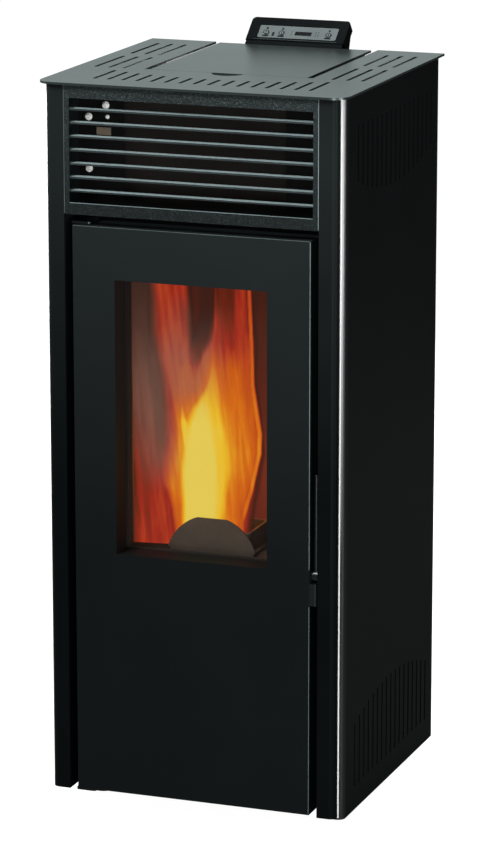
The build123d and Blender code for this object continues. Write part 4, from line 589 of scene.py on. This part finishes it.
KEYS = [("button_left", -0.0445), ("button_middle", -0.022), ("button_right", 0.0455)]
for key, across in KEYS:
    body = body_of(nodes[key])[0]
    ring(f"{key}_ring", across, KEY_ROW, body)
    mark(f"{key}_stem", across, KEY_ROW, 0.0016, 0.0034, level=KEY_LEVEL, body=body)
    mark(f"{key}_base_bar", across, KEY_ROW - 0.0058, 0.0090, 0.0026)
    mark(f"{key}_lamp_frame", across, KEY_ROW + 0.008, 0.0032, 0.0032)
mark("keypad_bar", -0.034, 0.0195, 0.0032, 0.0075)
# a thin grey bar along the panel's crease: a painted highlight
mark("panel_crease_highlight", 0.0, 0.0098, 0.120, 0.0006, print_and_highlight_grey, level=0)
for column, across in (("left", -0.0078), ("near", 0.0268), ("far", 0.0305)):
    for row in range(TICK_COUNT):
        mark(f"keypad_tick_{column}_{row + 1}", across, TICK_START + TICK_PITCH * row, 0.0016,
             0.0011, print_and_highlight_grey)


# ------------------------------------------------------------------ fire
FIRE_LOW, FIRE_HIGH = 0.353, 0.742
# Y of the flame, Y of the glow behind it, and Y of the lights that the fire gives
FLAME_Y, GLOW_Y = FRONT + 0.096, FRONT + 0.186
EMBER_Y, RIM_Y = FRONT + 0.14, FRONT + 0.06
EMBER_COLOUR = (1.0, 0.36, 0.08)
FIELDS = ("warmth", "cover", "haze")
# rows of (height, middle, half width, strength) of each tongue of the flame
CORE = [(0.372, -0.020, 0.034, 1.0), (0.425, -0.017, 0.037, 1.0), (0.461, -0.014, 0.039, 1.0),
        (0.490, -0.013, 0.037, 1.0), (0.514, -0.012, 0.033, 0.99), (0.540, -0.011, 0.026, 0.92),
        (0.566, -0.006, 0.015, 0.80), (0.593, -0.005, 0.009, 0.68), (0.625, -0.004, 0.004, 0.44)]
SPIKE = [(0.480, -0.036, 0.012, 0.90), (0.520, -0.043, 0.007, 0.88), (0.548, -0.048, 0.003, 0.60),
         (0.570, -0.051, 0.002, 0.0)]
BODY = [(0.372, -0.012, 0.050, 0.62), (0.400, -0.010, 0.053, 0.62), (0.434, -0.011, 0.062, 0.64),
        (0.487, -0.004, 0.064, 0.68), (0.540, -0.006, 0.060, 0.64), (0.593, -0.005, 0.054, 0.56),
        (0.632, 0.010, 0.042, 0.36), (0.680, 0.016, 0.034, 0.25), (0.742, 0.018, 0.032, 0.22)]
FILL = [(0.392, 0.018, 0.016, 0.58), (0.434, 0.032, 0.018, 0.58), (0.487, 0.044, 0.020, 0.62),
        (0.540, 0.042, 0.018, 0.58), (0.600, 0.037, 0.015, 0.48), (0.650, 0.034, 0.013, 0.38),
        (0.742, 0.036, 0.010, 0.34)]
LINE = [(0.392, 0.034, 0.004, 0.62), (0.434, 0.048, 0.004, 0.66), (0.487, 0.062, 0.004, 0.72),
        (0.514, 0.063, 0.004, 0.70), (0.540, 0.058, 0.004, 0.66), (0.577, 0.052, 0.003, 0.60),
        (0.646, 0.048, 0.003, 0.52), (0.742, 0.045, 0.003, 0.46)]
LEFT = [(0.353, -0.084, 0.036, 0.38), (0.400, -0.083, 0.036, 0.38), (0.440, -0.088, 0.032, 0.35),
        (0.480, -0.095, 0.026, 0.31), (0.530, -0.101, 0.020, 0.22), (0.600, -0.105, 0.016, 0.14),
        (0.742, -0.106, 0.016, 0.10)]
RED = [(0.500, -0.036, 0.024, 0.0), (0.540, -0.040, 0.028, 0.50), (0.580, -0.046, 0.027, 0.47),
       (0.619, -0.052, 0.026, 0.43), (0.660, -0.058, 0.027, 0.41), (0.742, -0.066, 0.028, 0.40)]
SMOKE = [(0.420, -0.074, 0.020, 0.0), (0.470, -0.077, 0.022, 0.40), (0.530, -0.086, 0.024, 0.55),
         (0.590, -0.094, 0.024, 0.44), (0.650, -0.098, 0.022, 0.18), (0.742, -0.102, 0.020, 0.07)]
DUST = [(0.520, -0.040, 0.030, 0.0), (0.566, -0.040, 0.036, 0.50), (0.610, -0.042, 0.040, 0.50),
        (0.650, -0.036, 0.034, 0.26), (0.700, -0.036, 0.030, 0.0)]
GAP = [(0.575, -0.030, 0.003, 0.0), (0.600, -0.030, 0.006, 0.55), (0.632, -0.023, 0.011, 0.80),
       (0.680, -0.019, 0.016, 0.92), (0.742, -0.018, 0.018, 0.96)]


def smooth(edge_low, edge_high, value):
    """Goes from 0 to 1, with soft ends, while the value goes from one edge to the other."""
    t = min(max((value - edge_low) / (edge_high - edge_low), 0.0), 1.0)
    return t * t * (3 - 2 * t)


def at_height(path, z):
    """Values of a path of (height, ...) rows at this height, straight between its rows."""
    if z <= path[0][0]:
        return path[0][1:]
    for low, high in zip(path, path[1:]):
        if z <= high[0]:
            t = (z - low[0]) / (high[0] - low[0])
            return tuple(a + (b - a) * t for a, b in zip(low[1:], high[1:]))
    return path[-1][1:]


def tongue(path, x, z, edge):
    """Strength of one tongue: full at its middle, gone past its half width."""
    middle, half, strength = at_height(path, z)
    return strength * (1 - smooth(1 - edge, 1 + edge, abs(x - middle) / half))


def ripple(x, z, layer, scale_x, scale_z):
    """Smooth noise over the flame's sheet, between -1 and 1."""
    return noise.noise(Vector((x * scale_x, layer, z * scale_z)))


def front_flame(x, z):
    """Warmth, cover and haze of the near flame at one place of its sheet."""
    sway = ripple(x, z, 3.1, 16, 7) * 0.006
    flick = ripple(x, z, 8.2, 60, 15) * 0.0045
    px = x + sway + flick
    streak = noise.fractal(Vector((x * 130 + z * 12, 5.5, z * 11)), 0.8, 2.0, 4)
    body = tongue(BODY, px, z, 0.30)
    core = tongue(CORE, px, z, 0.40 + 0.35 * smooth(0.50, 0.58, z))
    core *= 1 - 0.15 * smooth(-0.022, 0.008, px)
    spike = tongue(SPIKE, px, z, 0.6)
    fill = tongue(FILL, px, z, 0.5)
    line = tongue(LINE, x + 0.5 * sway, z, 0.6)
    left = tongue(LEFT, px, z, 0.6)
    red = tongue(RED, px, z, 0.45)
    gap = tongue(GAP, px, z, 0.5)
    smoke = tongue(SMOKE, px, z, 0.8)
    dust = tongue(DUST, px, z, 0.7) * (1 - 0.7 * gap) * (1 - 0.7 * core)
    warmth = max(body, core, spike, fill, line, left, red)
    warmth += 0.10 * min(body, core)
    warmth *= 1 - 0.72 * gap
    warmth += 0.075 * streak * smooth(0.05, 0.5, warmth) * (1.3 - 0.8 * core)
    haze = max(smoke, dust) + 0.10 * streak * smooth(0.1, 0.4, max(smoke, dust))
    cover = 0.96 * smooth(0.02, 0.20, warmth + 0.4 * haze)
    return warmth, cover, haze


def back_glow(x, z):
    """Warmth, cover and haze of the glow in front of the firebox's rear wall."""
    rise = smooth(0.76, 0.40, z)
    side = smooth(0.125, 0.09, abs(x))
    streak = noise.fractal(Vector((x * 60, 1.5, z * 6)), 0.9, 2.0, 3) * 0.05
    return 0.15 + 0.13 * rise + streak, 0.75 * side, 0.04


def fire_paint():
    """Light of a flame: warmth picks the colour, haze dusts it, cover lets the rest through."""
    paint = Paint("fire")
    warmth, cover, haze = (paint.add("ShaderNodeAttribute", attribute_name=field).outputs["Fac"]
                           for field in FIELDS)
    glow = paint.ramp(warmth, (0.0, (0.003, 0.002, 0.002)), (0.12, (0.027, 0.010, 0.007)),
                      (0.22, (0.102, 0.013, 0.005)), (0.30, (0.195, 0.023, 0.008)),
                      (0.38, (0.376, 0.024, 0.011)), (0.46, (0.515, 0.061, 0.012)),
                      (0.55, (0.610, 0.102, 0.006)), (0.65, (0.730, 0.156, 0.007)),
                      (0.78, (0.855, 0.352, 0.013)), (0.90, (0.922, 0.552, 0.025)),
                      (1.0, (0.871, 0.658, 0.098)))
    paint.drive("Emission Color", paint.blend(haze, glow, (0.30, 0.14, 0.10)))
    paint.drive("Alpha", cover)
    paint.value(Base_Color=(0, 0, 0, 1), Emission_Strength=1.0, Roughness=1.0,
                Specular_IOR_Level=0.0)
    return paint.material


def flame_sheet(name, field, half_width, near, bow, columns, rows):
    """Upright sheet that bows back at its sides and carries the field's values."""
    verts, faces, field_values = [], [], []
    for row in range(rows + 1):
        z = FIRE_LOW + (FIRE_HIGH - FIRE_LOW) * row / rows
        for column in range(columns + 1):
            x = half_width * (2 * column / columns - 1)
            lean = bow * (x / half_width) ** 2
            wave = 0.004 * ripple(x, z, near * 50, 20, 8)
            verts.append((x, near + lean + wave, z))
            field_values.append([min(max(value, 0.0), 1.0) for value in field(x, z)])
    for row in range(rows):
        for column in range(columns):
            corner = row * (columns + 1) + column
            faces.append((corner, corner + 1, corner + columns + 2, corner + columns + 1))
    mesh = bpy.data.meshes.new(name)
    mesh.from_pydata(verts, [], faces)
    for key, values in zip(FIELDS, zip(*field_values)):
        mesh.attributes.new(key, "FLOAT", "POINT").data.foreach_set("value", values)
    mesh.materials.append(fire)
    mesh.polygons.foreach_set("use_smooth", [True] * len(faces))
    obj = in_scene(name, mesh)
    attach(obj, "stove")


fire = fire_paint()
flame_sheet("flame_front", front_flame, 0.113, FLAME_Y, -0.016, 140, 160)
flame_sheet("flame_back", back_glow, 0.114, GLOW_Y, 0.0, 40, 60)


# ------------------------------------------------------------------ light
def lamp(name, kind, power, place=(0, 0, 0), target=None, **settings):
    """Lamp of this kind and power at a place, turned to its target."""
    data = bpy.data.lights.new(name, kind)
    data.energy = power
    for key, value in settings.items():
        setattr(data, key, value)
    obj = in_scene(name, data)
    obj.location = place
    if target:
        obj.rotation_euler = (Vector(target) - Vector(place)).to_track_quat("-Z", "Y").to_euler()


WHITE, AIRY = (1, 1, 1), (0.84, 1.0, 0.98)
# name, power, place and blur of the lights that the fire gives
EMBERS = [
    ("fire_low", 0.7, (0, EMBER_Y, 0.46), 0.03),
    ("fire_high", 0.3, (0, EMBER_Y, 0.60), 0.03),
    ("fire_rim", 0.10, (0.02, RIM_Y, 0.47), 0.02),
]
# name, power, place, target, width, height and colour of the studio's softboxes
SOFTBOXES = [
    ("key", 112, (-0.8, -1.7, 2.7), (0, -0.2, 0.8), 1.1, 1.1, WHITE),
    ("low_fill", 30, (0.9, -2.6, 0.35), (0.2, -0.2, 0.3), 0.8, 0.8, WHITE),
    ("side_strip", 30, (2.3, -1.3, 0.75), (0.2, -0.2, 0.75), 0.5, 1.0, WHITE),
    ("back", 13, (-1.6, 4.2, 1.9), (0, 0, 0.98), 3.4, 1.7, AIRY),
    ("rear", 26, (-1.0, 2.6, 0.55), (0, 0, 0.55), 0.9, 0.6, WHITE),
    ("left", 40, (-3.0, -0.4, 1.5), (0, 0, 0.5), 1.2, 1.2, WHITE),
    ("top", 36, (0.2, 0.4, 3.2), (0, 0, 0.9), 2.0, 1.6, WHITE),
]
for name, power, place, blur in EMBERS:
    lamp(name, "POINT", power, place, color=EMBER_COLOUR, shadow_soft_size=blur)
for name, power, place, target, width, height, colour in SOFTBOXES:
    lamp(name, "AREA", power, place, target, shape="RECTANGLE", size=width, size_y=height,
         color=colour)
lamp("ceiling", "SUN", 0.4, target=(0.25, 0.35, -1), angle=math.radians(60))


# ------------------------------------------------------------------ floor and backdrop
FLOOR_HALF = 14
FLOOR_LEVEL, FLOOR_LIFT = 0.12, 0.98
ROOM_LEVEL, BACKDROP_LEVEL = 0.11, 1.0


def floor():
    """Pale floor, lifted to white for the camera's own rays only."""
    paint = Paint("floor_pale")
    tone = paint.shades(paint.noise(1.5, 3), (FLOOR_LEVEL * 0.985,) * 3, (FLOOR_LEVEL,) * 3)
    paint.drive("Base Color", tone)
    paint.value(Roughness=0.6, Emission_Color=(1, 1, 1, 1))
    seen = paint.add("ShaderNodeLightPath").outputs["Is Camera Ray"]
    paint.drive("Emission Strength", paint.across(seen, 0, 1, 0, FLOOR_LIFT))
    mesh = bpy.data.meshes.new("floor")
    mesh.from_pydata([(-FLOOR_HALF, -FLOOR_HALF, 0), (FLOOR_HALF, -FLOOR_HALF, 0),
                      (FLOOR_HALF, FLOOR_HALF, 0), (-FLOOR_HALF, FLOOR_HALF, 0)],
                     [], [(0, 1, 2, 3)])
    mesh.materials.append(paint.material)
    obj = in_scene("floor", mesh)


def surroundings():
    """A white backdrop for the camera and a dimmer white room for everything else."""
    world = bpy.data.worlds.new("world")
    bpy.context.scene.world = world
    world.use_nodes = True
    tree = world.node_tree
    background = tree.nodes["Background"]
    background.inputs["Color"].default_value = (1, 1, 1, 1)
    path = tree.nodes.new("ShaderNodeLightPath")
    strength = tree.nodes.new("ShaderNodeMapRange")
    strength.inputs["To Min"].default_value = ROOM_LEVEL
    strength.inputs["To Max"].default_value = BACKDROP_LEVEL
    tree.links.new(path.outputs["Is Camera Ray"], strength.inputs["Value"])
    tree.links.new(strength.outputs["Result"], background.inputs["Strength"])


floor()
surroundings()
bpy.context.scene.view_settings.view_transform = "Standard"
